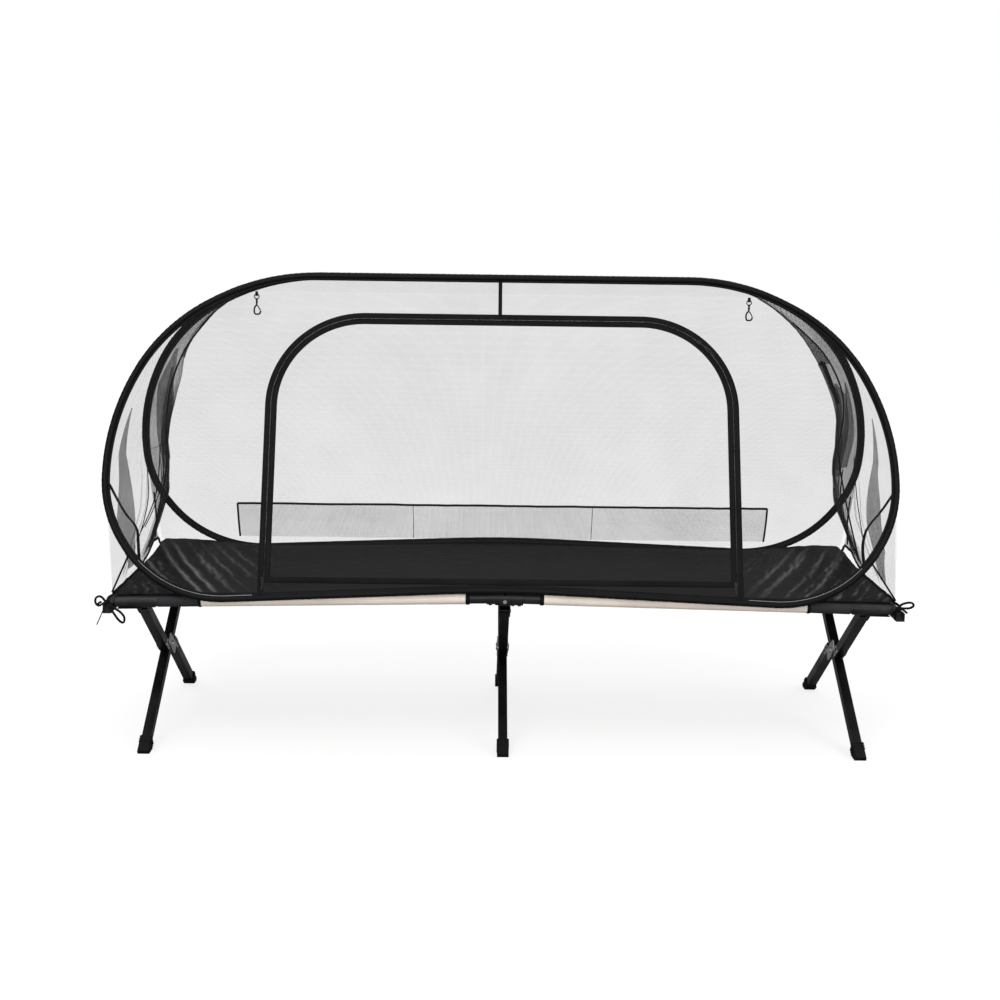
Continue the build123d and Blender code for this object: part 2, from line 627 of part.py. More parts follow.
# ---- build: hooks -------------------------------------------------------------------
HOOK_EYE_Z = 1112.0
hook_v = 792.0
hook_y = -TENT_BASE_Y + hook_v * LEAN_SIN + 9
hoop_low_z = slope_z(hook_v) - HOOP_R
straps = []
for name, side in SIDES.items():
    x = side * HOOK_X + FRONT_SHIFT
    loop = box((x - 3.4, hook_y - 3, HOOK_EYE_Z - 2), (x + 3.4, hook_y + 3, hoop_low_z - 3))
    hollow = box((x - 6, hook_y - 1.8, HOOK_EYE_Z), (x + 6, hook_y + 1.8, hoop_low_z - 6))
    straps.append(loop - hollow)
    eye_plane = Plane(origin=(x, hook_y, HOOK_EYE_Z - 0.6), x_dir=(1, 0, 0), z_dir=(0, -1, 0))
    eye = eye_plane * extrude(Circle(7.5) - Circle(4.9), 1.2, both=True)
    stem = rod((x, hook_y, HOOK_EYE_Z - 7), (x, hook_y, HOOK_EYE_Z - 26), 2.4)
    bend = Plane(origin=(x, hook_y, HOOK_EYE_Z - 35), x_dir=(1, 0, 0), z_dir=(0, -1, 0))
    crook = bend * extrude(Circle(11) - Circle(7.6) - Pos(9, 4) * Rectangle(14, 12), 1.6, both=True)
    node(f"hook_{name}", stem + eye + crook)
    gate = rod((x + 9.3, hook_y, HOOK_EYE_Z - 35.8), (x + 4.9, hook_y, HOOK_EYE_Z - 28.4), 1.2)
    node(f"hook_gate_{name}", gate)
node("hook_straps", *straps)

# ---- build: zip sliders -------------------------------------------------------------
ZIP_CENTRE = (DOOR_HALF - DOOR_R, DOOR_TOP - DOOR_R)


def zip_slider(along, up, turn):
    """Slider straddling the zip line in front of the panel, with its pull tab hanging."""
    body = Pos(0, 0, 4.0) * Box(10, 14, 3.4)
    bridge = Pos(0, 2, 6.7) * Box(2.4, 7, 2.0)
    tab = Pos(0, -12, 6.9) * Box(4.0, 26, 1.4)
    return FRONT_PLANE * (Pos(along, up) * Rot(0, 0, turn) * (body + bridge + tab))


node("zip_slider_left", zip_slider(-DOOR_HALF - 4, 40, 0))
node("zip_slider_right", zip_slider(DOOR_HALF - 4, 40, 0))
pair = []
for angle in (43.0, 50.0):
    reach = math.radians(angle)
    along = ZIP_CENTRE[0] + DOOR_R * math.cos(reach)
    up = ZIP_CENTRE[1] + DOOR_R * math.sin(reach)
    pair.append(zip_slider(along, up, angle))
node("zip_slider_pair", *pair)

# ---- build: corner ties -------------------------------------------------------------
TIE_END_X = 1000.0


def corner_tie():
    """Ribbon from the tent corner, knotted round the end bar's tip into a bow."""
    tip_y = -BAR_REACH + 14
    wrap_gap = BAR / 2 + 0.6
    outer = Pos(BAR_X, tip_y, BAR_Z) * Box(2 * wrap_gap + 3, 10, 2 * wrap_gap + 3)
    hollow = Pos(BAR_X, tip_y, BAR_Z) * Box(2 * wrap_gap, 12, 2 * wrap_gap)
    knot = Pos(BAR_X + 17, tip_y - 2, BAR_Z + 16) * Sphere(7.5)
    lead = rod((BAR_X + 12, tip_y, BAR_Z + 14), (FLOOR_X + 4, -FLOOR_Y - 2, floor_edge_z), 2.2)
    upright = Plane(origin=(0, tip_y, BAR_Z), x_dir=(1, 0, 0), z_dir=(0, -1, 0))
    loop_a = Pos(TIE_END_X - 11, 24) * (Circle(11) - Circle(8))
    loop_b = Pos(BAR_X + 24, 0) * (Circle(11) - Circle(8))
    loops = upright * extrude(loop_a + loop_b, 3.0, both=True)
    return (outer - hollow) + knot + lead + loops


floor_edge_z = rail_z(FLOOR_X) + floor_top + 1.5
tie = corner_tie()
ties = []
for piece in both_ends(tie):
    ties.append(piece)
    ties.append(mirror(piece, about=Plane.XZ))
node("corner_ties", *ties)
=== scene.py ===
import math

import bpy
import numpy as np
from mathutils import Matrix, Vector, geometry, noise


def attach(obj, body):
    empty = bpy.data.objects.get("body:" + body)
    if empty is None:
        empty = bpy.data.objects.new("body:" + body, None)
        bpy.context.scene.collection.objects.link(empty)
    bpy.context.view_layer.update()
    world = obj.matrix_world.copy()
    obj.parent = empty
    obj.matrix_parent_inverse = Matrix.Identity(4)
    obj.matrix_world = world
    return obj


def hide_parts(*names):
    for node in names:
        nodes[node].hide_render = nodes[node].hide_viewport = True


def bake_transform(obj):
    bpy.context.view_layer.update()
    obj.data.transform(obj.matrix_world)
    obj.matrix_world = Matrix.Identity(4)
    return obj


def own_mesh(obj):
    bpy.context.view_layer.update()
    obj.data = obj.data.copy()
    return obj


# Looks for the folding cot with its spring-hoop net tent. Metres, +Z up, +X along the bed.
# "Front" is -Y and "left" is -X, as in the CAD frame.

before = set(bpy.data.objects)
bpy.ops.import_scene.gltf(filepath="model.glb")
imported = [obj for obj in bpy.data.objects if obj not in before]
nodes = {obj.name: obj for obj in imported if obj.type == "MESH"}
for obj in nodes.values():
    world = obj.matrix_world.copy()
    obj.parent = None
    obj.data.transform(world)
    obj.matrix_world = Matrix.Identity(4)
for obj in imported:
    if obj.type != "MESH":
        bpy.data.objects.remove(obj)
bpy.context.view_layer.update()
scene = bpy.context.scene

# ---- places taken over from the CAD source, in metres --------------------------------
RAIL_REACH = 0.950
RAIL_Y = 0.298
RAIL_END_Z = 0.379
RAIL_MID_Z = 0.398
SLEEVE_R = 0.0152
SLEEVE_START = 0.090
SLING_SEAM = 0.745
BAR_X = 0.965
BAR_Z = 0.367
BAR_TIP_Y = 0.335
TENT_BASE_Y = 0.322
TENT_BASE_Z = 0.400
LEAN_SIN = 0.3745
LEAN_COS = 0.9272
HOOP_TOP = 0.8264
HOOP_R = 0.0078
FLOOR_X = 0.957
FLOOR_Y = 0.304
FLOOR_RISE = 0.0181
DOOR_HALF = 0.578
DOOR_TOP = 0.713
DOOR_R = 0.230
DOOR_BOTTOM = 0.034
BAND = 0.015
POCKET_HALF = 0.738
POCKET_LOW = 0.032
POCKET_TOP = 0.141
HOOK_X = 0.628
FRONT, BACK = -1, 1
LEFT, RIGHT = -1, 1
ENDS = {"left": LEFT, "right": RIGHT}
# half length of each hoop, and how far it is moved along the bed
HALF = {FRONT: 0.980, BACK: 0.976}
SHIFT = {FRONT: -0.010, BACK: 0.0}


def rail_z(x):
    return RAIL_MID_Z - (RAIL_MID_Z - RAIL_END_Z) * abs(x) / RAIL_REACH


def smooth(low, high, value):
    """Smooth step from 0 at low to 1 at high."""
    t = min(1.0, max(0.0, (value - low) / (high - low)))
    return t * t * (3 - 2 * t)


def wander(x, y, z=0.0):
    """Smooth noise from about -1 to 1."""
    return noise.noise(Vector((x, y, z)))


def spread(low, high, count):
    """Evenly spaced values from low to high, both included."""
    return [low + (high - low) * i / count for i in range(count + 1)]


def turns(count):
    """Evenly spaced angles of one whole turn."""
    return [math.tau * k / count for k in range(count)]


def on_plane(row, x, v, out=0.0):
    """A point of the front or back hoop plane: x along the bed, v up the slope, out from the tent."""
    y = TENT_BASE_Y - LEAN_SIN * v + LEAN_COS * out
    z = TENT_BASE_Z + LEAN_COS * v + LEAN_SIN * out
    return Vector((x + SHIFT[row], row * y, z))


# ---- materials -------------------------------------------------------------------------
WIDE = (0.3, 0.7)      # nearly all that a noise gives lies in this range
NARROW = (0.35, 0.65)  # and most of it in this one
RIB_SCALE = math.tau / 20  # the wave texture's own measure: this over the pitch is its scale


class Nodes:
    """A node tree with short names for what a material here needs."""

    def __init__(self, name):
        self.material = bpy.data.materials.new(name)
        self.material.use_nodes = True
        self.tree = self.material.node_tree
        self.tree.nodes.clear()
        self.output = self.tree.nodes.new("ShaderNodeOutputMaterial")
        self.coordinates = self.tree.nodes.new("ShaderNodeTexCoord").outputs["Object"]

    def add(self, kind, settings=None, **inputs):
        node = self.tree.nodes.new(kind)
        for key, value in (settings or {}).items():
            setattr(node, key, value)
        for key, value in inputs.items():
            self.feed(node.inputs[key.replace("_", " ")], value)
        return node

    def feed(self, socket, value):
        if isinstance(value, bpy.types.NodeSocket):
            self.tree.links.new(value, socket)
        else:
            socket.default_value = value

    def feed_first(self, node, values):
        """Feed a node's sockets in their own order."""
        for socket, value in zip(node.inputs, values):
            self.feed(socket, value)
        return node.outputs[0]

    def math(self, operation, a, b=0.0, c=0.0):
        return self.feed_first(self.add("ShaderNodeMath", {"operation": operation}), (a, b, c))

    def remap(self, value, low, high, to_low, to_high):
        return self.feed_first(self.add("ShaderNodeMapRange"), (value, low, high, to_low, to_high))

    def cloud(self, scale, detail=3.0, stretch=(1.0, 1.0, 1.0)):
        """Soft noise, stretched along an axis if wanted."""
        place = self.add("ShaderNodeMapping", Vector=self.coordinates, Scale=stretch).outputs[0]
        return self.add("ShaderNodeTexNoise", Vector=place, Scale=scale, Detail=detail).outputs[0]

    def ribs(self, direction, pitch):
        """Parallel ribs along an axis of the frame, a pitch in metres apart."""
        settings = {"wave_type": "BANDS", "bands_direction": direction, "wave_profile": "SIN"}
        scale = RIB_SCALE / pitch
        wave = self.add("ShaderNodeTexWave", settings, Vector=self.coordinates, Scale=scale, Distortion=0.0)
        return wave.outputs["Fac"]

    def blend(self, fac, colour, other):
        """A colour that goes over to a fixed one."""
        mix = self.add("ShaderNodeMix", {"data_type": "RGBA"})
        self.feed(mix.inputs[0], fac)
        self.feed(mix.inputs[6], colour)
        self.feed(mix.inputs[7], (*other, 1))
        return mix.outputs[2]

    def tone(self, fac, dark, light):
        return self.blend(fac, (*dark, 1), light)

    def bump(self, height, strength, distance, below=None):
        node = self.add("ShaderNodeBump", Height=height, Strength=strength, Distance=distance)
        if below is not None:
            self.feed(node.inputs["Normal"], below)
        return node.outputs[0]

    def surface(self, shader):
        self.tree.links.new(shader, self.output.inputs["Surface"])
        return self.material

    def mixed(self, fac, first, second):
        """The finished material, which goes from one shader node to another."""
        mix = self.add("ShaderNodeMixShader", Fac=fac)
        self.tree.links.new(first.outputs[0], mix.inputs[1])
        self.tree.links.new(second.outputs[0], mix.inputs[2])
        return self.surface(mix.outputs[0])

    def principled(self, **inputs):
        """The finished material, with one Principled shader."""
        return self.surface(self.add("ShaderNodeBsdfPrincipled", **inputs).outputs[0])


def woven(name, dark, light, pitch=0.0012, rough=(0.5, 0.7), weft="Y", crinkle=0.0, shine=0.08, painted_highlight=None):
    """Plain-weave cloth with uneven tone, a fine rib each way and, if wanted, small crinkles.
    If a highlight colour is given, it is a painted highlight, mixed into the base colour where the mesh's
    attribute of that name is high."""
    n = Nodes(name)
    patches = n.cloud(9.0, 4.0)
    streaks = n.cloud(60.0, 3.0, (0.12, 1.0, 1.0))
    uneven = n.math("ADD", n.math("MULTIPLY", patches, 0.6), n.math("MULTIPLY", streaks, 0.4))
    weave = n.math("MULTIPLY", n.ribs("X", pitch), n.ribs(weft, pitch))
    colour = n.tone(n.remap(uneven, *WIDE, 0.0, 1.0), dark, light)
    # painted highlight: the base colour goes over to a pale colour where the mesh's attribute is high,
    # streaky along the cloth
    if painted_highlight:
        highlight_share = n.add("ShaderNodeAttribute", {"attribute_name": "painted_highlight"}).outputs["Fac"]
        colour = n.blend(n.math("MULTIPLY", highlight_share, n.remap(streaks, *WIDE, 0.7, 1.0)), colour, painted_highlight)
    normal = n.bump(weave, 0.35, pitch * 0.2)
    if crinkle:
        normal = n.bump(n.cloud(34.0, 5.0, (1.0, 0.6, 1.0)), 0.6, crinkle, normal)
    return n.principled(Base_Color=colour, Roughness=n.remap(streaks, *WIDE, *rough),
                        Specular_IOR_Level=shine, Normal=normal)


def netting(name, colour, opacity, pitch, across="X", thread=0.86, film=0.07, bunched=None):
    """Open mesh: fine threads each way, clear between them, a little denser in places.
    film is what the unseen finest threads cover; bunched is (from y, to y, film there)."""
    n = Nodes(name)
    threads = n.remap(n.math("MAXIMUM", n.ribs(across, pitch), n.ribs("Z", pitch)), thread, 1.0, 0.0, 1.0)
    density = n.remap(n.cloud(7.0, 3.0), *WIDE, 0.88, 1.12)
    thin = film
    if bunched:
        place = n.add("ShaderNodeSeparateXYZ", Vector=n.coordinates)
        thin = n.remap(place.outputs["Y"], bunched[0], bunched[1], film, bunched[2])
    cover = n.math("MULTIPLY", n.math("MULTIPLY_ADD", threads, opacity, thin), density)
    shade = n.tone(n.cloud(40.0), tuple(c * 0.8 for c in colour), colour)
    thread_shader = n.add("ShaderNodeBsdfPrincipled", Base_Color=shade, Roughness=0.8, Specular_IOR_Level=0.2)
    return n.mixed(cover, n.add("ShaderNodeBsdfTransparent"), thread_shader)


def coated_metal(name, dark, light, rough=(0.32, 0.48)):
    """Powder coat with orange peel, dusty patches and streaks rubbed a little paler."""
    n = Nodes(name)
    dust = n.cloud(14.0, 5.0)
    scuffs = n.remap(n.cloud(120.0, 6.0, (0.25, 1.0, 1.0)), 0.66, 0.78, 0.0, 0.35)
    body = n.tone(n.remap(dust, *NARROW, 0.0, 1.0), dark, light)
    peel = n.bump(n.cloud(900.0, 2.0), 0.25, 0.00008)
    return n.principled(Base_Color=n.blend(scuffs, body, (0.07, 0.07, 0.073)), Specular_IOR_Level=0.18,
                        Roughness=n.remap(dust, *WIDE, *rough), Normal=peel)


def bare_metal(name, dark, light, rough=(0.28, 0.5)):
    """Plated or bare metal with a brushed grain and stains."""
    n = Nodes(name)
    brush = n.cloud(420.0, 3.0, (0.1, 1.0, 1.0))
    stain = n.cloud(45.0, 5.0)
    return n.principled(Base_Color=n.tone(n.remap(stain, *NARROW, 0.0, 1.0), dark, light), Metallic=0.85,
                        Roughness=n.remap(brush, *WIDE, *rough), Normal=n.bump(brush, 0.2, 0.00006))


def moulded(name, dark, light, rough=(0.45, 0.62)):
    """Moulded plastic or rubber with a fine spark-eroded grain."""
    n = Nodes(name)
    patch = n.cloud(30.0, 4.0)
    body = n.tone(n.remap(patch, *NARROW, 0.0, 1.0), dark, light)
    grain = n.bump(n.cloud(1500.0, 2.0), 0.35, 0.00012)
    return n.principled(Base_Color=body, Specular_IOR_Level=0.15, Roughness=n.remap(patch, *WIDE, *rough),
                        Normal=grain)


BLACK_YARN = ((0.0025, 0.0025, 0.0028), (0.006, 0.006, 0.0064))
RAIL_COAT = coated_metal("rail_coat", (0.010, 0.010, 0.0107), (0.020, 0.020, 0.0212))
LEG_COAT = coated_metal("leg_coat", (0.0015, 0.0015, 0.0016), (0.0035, 0.0035, 0.0037), (0.3, 0.46))
STEEL_COAT = coated_metal("steel_coat", (0.006, 0.006, 0.0065), (0.014, 0.014, 0.015), (0.3, 0.5))
PIN_STEEL = bare_metal("pin_steel", (0.20, 0.20, 0.205), (0.34, 0.34, 0.35))
BLACK_RIVET = coated_metal("black_rivet_paint", (0.005, 0.005, 0.005), (0.012, 0.012, 0.013), (0.2, 0.36))
ZINC_RIVET = bare_metal("zinc_rivet_plate", (0.45, 0.46, 0.47), (0.66, 0.67, 0.68))
ZINC_PLATE = bare_metal("zinc_sheet", (0.46, 0.47, 0.49), (0.68, 0.69, 0.71), (0.3, 0.55))
PLUG_PLASTIC = moulded("plug_plastic", (0.008, 0.008, 0.0085), (0.016, 0.016, 0.017))
FOOT_RUBBER = moulded("foot_rubber_black", (0.0018, 0.0018, 0.0018), (0.0042, 0.0042, 0.0044), (0.6, 0.8))
CANVAS = woven("beige_canvas", (0.66, 0.585, 0.51), (0.84, 0.755, 0.67), 0.0014, (0.75, 0.9), crinkle=0.0006)
BLACK_CANVAS = woven("black_canvas", (0.020, 0.0205, 0.022), (0.031, 0.032, 0.034), 0.0014, (0.55, 0.72))
TAPE = woven("binding_tape_black", *BLACK_YARN, 0.0018, (0.6, 0.8), "Z")
SLEEVE_CLOTH = woven("hoop_sleeve_cloth", *BLACK_YARN, 0.0009, (0.45, 0.62), "Z")
# the floor taffeta carries a painted highlight: a pale colour in its base colour on the fold flanks that face
# the middle
FLOOR_CLOTH = woven("floor_taffeta_painted_highlight", (0.0025, 0.0025, 0.0028), (0.0050, 0.0050, 0.0056), 0.0007, (0.40, 0.52),
                    crinkle=0.0005, shine=0.05, painted_highlight=(0.17, 0.173, 0.182))
NET_FACE = netting("net_face", (0.020, 0.020, 0.021), 0.34, 0.0022, "X", 0.84, 0.052)
NET_END = netting("net_end", (0.014, 0.014, 0.015), 0.50, 0.0022, "Y", 0.86, 0.050, (-0.02, 0.05, 0.40))
NET_FOLD = netting("net_folded", (0.014, 0.014, 0.015), 0.80, 0.0022, "Y", 0.80, 0.52)
POCKET_NET = netting("pocket_net_mesh", (0.045, 0.045, 0.047), 0.55, 0.0030, "X", 0.80, 0.09)
THREAD = woven("stitch_thread", (0.009, 0.009, 0.0095), (0.018, 0.018, 0.019), 0.0006)
BEIGE_THREAD = woven("beige_thread", (0.38, 0.32, 0.26), (0.50, 0.43, 0.36), 0.0006, (0.6, 0.8))
PIPING = woven("grey_piping", (0.16, 0.16, 0.165), (0.26, 0.26, 0.265), 0.0008, weft="Z")
ZIP_COIL = moulded("zip_coil_nylon", (0.006, 0.006, 0.006), (0.014, 0.014, 0.015), (0.25, 0.4))
SLIDER_METAL = coated_metal("slider_paint", (0.006, 0.006, 0.006), (0.014, 0.014, 0.014), (0.2, 0.35))
HOOK_PLASTIC = moulded("hook_acetal", (0.006, 0.006, 0.0065), (0.013, 0.013, 0.014), (0.3, 0.45))

FINISHES = {
    # part of a CAD node's name and its material; the first that fits is taken
    "end_bar_plugs": PLUG_PLASTIC,
    "leg_brackets": STEEL_COAT,
    "end_plugs": PLUG_PLASTIC,
    "rail_rivets": BLACK_RIVET,
    "rail_left": RAIL_COAT,
    "rail_right": RAIL_COAT,
    "hinge_leaves": STEEL_COAT,
    "hinge_pin": PIN_STEEL,
    "foot_caps": FOOT_RUBBER,
    "pivot_rivets": ZINC_RIVET,
    "pivot_plates": ZINC_PLATE,
    "plate_rivets": BLACK_RIVET,
    "leg_": LEG_COAT,
    "end_bar": RAIL_COAT,
}


def paint(obj, material):
    obj.data.materials.clear()
    obj.data.materials.append(material)


for node_name, node in nodes.items():
    for part, finish in FINISHES.items():
        if part in node_name:
            paint(node, finish)
            break


# ---- mesh tools ------------------------------------------------------------------------
def make_mesh(name, points, faces, material):
    data = bpy.data.meshes.new(name)
    data.from_pydata([tuple(p) for p in points], [], faces)
    data.validate()
    data.polygons.foreach_set("use_smooth", [True] * len(data.polygons))
    obj = bpy.data.objects.new(name, data)
    scene.collection.objects.link(obj)
    paint(obj, material)
    return obj


def quads(rows, width, closed):
    """Faces between rows of points; closed joins the last point of each row to its first."""
    faces = []
    for i in range(rows - 1):
        for j in range(width if closed else width - 1):
            k = (j + 1) % width
            faces.append((i * width + j, i * width + k, (i + 1) * width + k, (i + 1) * width + j))
    return faces


def grid(name, rows, material, closed=False):
    """Sheet through rows of points."""
    points = [p for row in rows for p in row]
    return make_mesh(name, points, quads(len(rows), len(rows[0]), closed), material)


def join(name, parts):
    """Several mesh objects as one, with its own name."""
    bpy.ops.object.select_all(action="DESELECT")
    for part in parts:
        part.select_set(True)
    bpy.context.view_layer.objects.active = parts[0]
    bpy.ops.object.join()
    parts[0].name = name
    parts[0].data.name = name
    return parts[0]


def resample(path, step, closed=False):
    """Points a step apart along a path of straight runs."""
    points = [Vector(p) for p in path]
    if closed:
        points.append(points[0].copy())
    lengths = [0.0]
    for a, b in zip(points, points[1:]):
        lengths.append(lengths[-1] + (b - a).length)
    count = max(2, round(lengths[-1] / step))
    result = []
    k = 0
    for i in range(count if closed else count + 1):
        target = lengths[-1] * i / count
        while k < len(lengths) - 2 and lengths[k + 1] < target:
            k += 1
        span = max(1e-9, lengths[k + 1] - lengths[k])
        result.append(points[k].lerp(points[k + 1], (target - lengths[k]) / span))
    return result


def curve(points, step=0.002):
    """Smooth path near given points, from a NURBS spline."""
    data = bpy.data.curves.new("route", "CURVE")
    data.dimensions = "3D"
    data.resolution_u = 16
    spline = data.splines.new("NURBS")
    spline.points.add(len(points) - 1)
    for place, point in zip(spline.points, points):
        place.co = (*point, 1)
    spline.order_u = 3
    spline.use_endpoint_u = True
    holder = bpy.data.objects.new("route", data)
    mesh = bpy.data.meshes.new_from_object(holder)
    path = [v.co.copy() for v in mesh.vertices]
    bpy.data.objects.remove(holder)
    bpy.data.curves.remove(data)
    bpy.data.meshes.remove(mesh)
    return resample(path, step)


def sweep(name, path, profile, material, side=None, closed=False, cap=True):
    """Sweep a profile along a path. profile(i) gives (across, up) pairs; side is a fixed across
    direction or a function of i, and without it the profile turns as little as it can."""
    count = len(path)
    rows = []
    previous = None
    for i, point in enumerate(path):
        if closed:
            ahead = path[(i + 1) % count] - path[i - 1]
        else:
            ahead = path[min(i + 1, count - 1)] - path[max(i - 1, 0)]
        ahead.normalize()
        if side is not None:
            across = Vector(side(i) if callable(side) else side)
        elif previous is not None:
            across = previous
        else:
            across = Vector((0, 0, 1)) if abs(ahead.z) < 0.9 else Vector((1, 0, 0))
        across = (across - ahead * across.dot(ahead)).normalized()
        previous = across
        up = ahead.cross(across)
        rows.append([point + across * a + up * b for a, b in profile(i)])
    if closed:
        rows.append(list(rows[0]))
    width = len(rows[0])
    points = [p for row in rows for p in row]
    last = len(rows) - 1
    faces = quads(len(rows), width, True)
    if closed:
        faces = [tuple(f if f < last * width else f - last * width for f in face) for face in faces]
        points = points[: last * width]
    elif cap:
        faces.append(tuple(reversed(range(width))))
        faces.append(tuple(last * width + j for j in range(width)))
    return make_mesh(name, points, faces, material)


def circle(radius, sides=10, flatten=1.0):
    return [(radius * math.cos(a), flatten * radius * math.sin(a)) for a in turns(sides)]


def strip_profile(width, thick):
    """Flat tape with rounded edges."""
    half = width / 2
    t = thick / 2
    return [(-half, 0), (-half * 0.86, -t), (0, -t * 1.15), (half * 0.86, -t), (half, 0),
            (half * 0.86, t), (0, t * 1.15), (-half * 0.86, t)]


def stitches(name, path, length, gap, size, material, side=None):
    """A row of raised stitches along a path; each one is a small rounded bead."""
    spots = resample(path, length + gap)
    points = []
    faces = []
    ring = 6
    for i in range(len(spots) - 1):
        start = spots[i]
        ahead = (spots[i + 1] - start).normalized()
        across = Vector(side) if side is not None else ahead.orthogonal()
        across = (across - ahead * across.dot(ahead)).normalized()
        up = ahead.cross(across)
        base = len(points)
        for place, swell in ((0.0, 0.35), (0.25, 1.0), (0.75, 1.0), (1.0, 0.35)):
            for turn in turns(ring):
                shift = across * math.cos(turn) * size * swell + up * math.sin(turn) * size * swell * 0.7
                points.append(start + ahead * length * place + shift)
        for level in range(3):
            for k in range(ring):
                m = (k + 1) % ring
                a = base + level * ring
                faces.append((a + k, a + m, a + ring + m, a + ring + k))
        faces.append(tuple(base + k for k in reversed(range(ring))))
        faces.append(tuple(base + 3 * ring + k for k in range(ring)))
    return make_mesh(name, points, faces, material)


def inside(polygon, x, y):
    """Even-odd test of points against a closed polygon, all as arrays."""
    result = np.zeros(len(x), bool)
    px, py = polygon[:, 0], polygon[:, 1]
    qx, qy = np.roll(px, -1), np.roll(py, -1)
    for ax, ay, bx, by in zip(px, py, qx, qy):
        crosses = (ay > y) != (by > y)
        if ay != by:
            result ^= crosses & (x < (bx - ax) * (y - ay) / (by - ay) + ax)
    return result


def panel(name, outline, spacing, place, material):
    """Triangulated cloth panel inside a closed outline; place(x, v) gives the 3-D point."""
    polygon = np.array([(p.x, p.y) for p in outline])
    low, high = polygon.min(0), polygon.max(0)
    xs = np.arange(low[0] + spacing * 0.4, high[0], spacing)
    vs = np.arange(low[1] + spacing * 0.4, high[1], spacing * 0.866)
    gx, gv = np.meshgrid(xs, vs)
    gx = gx + (np.arange(len(vs))[:, None] % 2) * spacing * 0.5
    gx, gv = gx.ravel(), gv.ravel()
    chosen = inside(polygon, gx, gv)
    for a in polygon:
        chosen &= (gx - a[0]) ** 2 + (gv - a[1]) ** 2 > (spacing * 0.45) ** 2
    edges = [(i, (i + 1) % len(outline)) for i in range(len(outline))]
    verts = list(outline) + [Vector((a, b)) for a, b in zip(gx[chosen], gv[chosen])]
    found, _, faces, *_ = geometry.delaunay_2d_cdt(verts, edges, [], 0, 1e-7)
    middle = np.array([[sum(found[i].x for i in f) / 3, sum(found[i].y for i in f) / 3] for f in faces])
    good = inside(polygon, middle[:, 0], middle[:, 1])
    kept = [f for f, ok in zip(faces, good) if ok]
    used = sorted({i for f in kept for i in f})
    number = {old: new for new, old in enumerate(used)}
    points = [place(found[i].x, found[i].y) for i in used]
    return make_mesh(name, points, [tuple(number[i] for i in f) for f in kept], material)


def dress(obj, body, replaced=()):
    """Put a finished piece on its body, hide the parts it replaces and give it its own mesh."""
    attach(obj, body)
    if replaced:
        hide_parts(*replaced)
    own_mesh(obj)


# ---- outlines --------------------------------------------------------------------------
def rounded(corners, step=0.010, grow=0.0):
    """Closed outline of runs and arcs through anticlockwise corners (x, v, radius)."""
    count = len(corners)
    moved = []
    for i, (x, v, radius) in enumerate(corners):
        here = Vector((x, v))
        before = (here - Vector(corners[i - 1][:2])).normalized()
        after = (Vector(corners[(i + 1) % count][:2]) - here).normalized()
        normal_a = Vector((before.y, -before.x))
        normal_b = Vector((after.y, -after.x))
        shift = (normal_a + normal_b) * (grow / (1 + normal_a.dot(normal_b)))
        turn = before.x * after.y - before.y * after.x
        moved.append((here + shift, radius + (grow if turn > 0 else -grow) if radius else 0.0))
    outline = []
    for i, (here, radius) in enumerate(moved):
        before = (moved[i - 1][0] - here).normalized()
        after = (moved[(i + 1) % count][0] - here).normalized()
        half = before.angle(after) / 2
        if radius <= 0 or abs(math.pi / 2 - half) < 1e-4:
            outline.append(here)
            continue
        cut = radius / math.tan(half)
        centre = here + (before + after).normalized() * (radius / math.sin(half))
        first = here + before * cut - centre
        last = here + after * cut - centre
        sweep_angle = math.atan2(first.x * last.y - first.y * last.x, first.dot(last))
        steps = max(2, round(abs(sweep_angle) * radius / step))
        for k in range(steps + 1):
            turn = sweep_angle * k / steps
            c, s = math.cos(turn), math.sin(turn)
            outline.append(centre + Vector((first.x * c - first.y * s, first.x * s + first.y * c)))
    filled = []
    for i, a in enumerate(outline):
        b = outline[(i + 1) % len(outline)]
        pieces = max(1, round((b - a).length / step))
        filled += [a.lerp(b, k / pieces) for k in range(pieces)]
    return filled


def hoop_corners(half):
    squeeze = half - HALF[FRONT]
    right = [
        (0.834 + squeeze, -0.015, 0.290),
        (0.980 + squeeze, 0.210, 0.305),
        (0.980 + squeeze, 0.436, 0.570),
        (0.863 + squeeze, 0.685, 0.440),
        (0.610 + squeeze, HOOP_TOP, 0.530),
    ]
    left = [(-x, v, r) for x, v, r in reversed(right)]
    return [(0, 0.024, 3.0), *right, *left]


def hoop_outline(row, grow=0.0, step=0.010):
    return rounded(hoop_corners(HALF[row]), step, grow)


def door_path(grow, low=0.0, step=0.008):
    """Up the left side of the door, round the arch and down the right, all grows in step."""
    half = DOOR_HALF + grow
    top = DOOR_TOP + grow
    radius = DOOR_R + grow
    legs = round((DOOR_TOP - DOOR_R - low) / step)
    arcs = round(math.pi / 2 * DOOR_R / step)
    across = round(2 * (DOOR_HALF - DOOR_R) / step)
    path = [(-half, low + (top - radius - low) * i / legs) for i in range(legs)]
    for i in range(arcs):
        turn = math.pi - math.pi / 2 * i / arcs
        path.append((-half + radius + radius * math.cos(turn), top - radius + radius * math.sin(turn)))
    path += [(-half + radius + 2 * (half - radius) * i / across, top) for i in range(across)]
    for i in range(arcs):
        turn = math.pi / 2 - math.pi / 2 * i / arcs
        path.append((half - radius + radius * math.cos(turn), top - radius + radius * math.sin(turn)))
    path += [(half, top - radius - (top - radius - low) * i / legs) for i in range(legs + 1)]
    return path


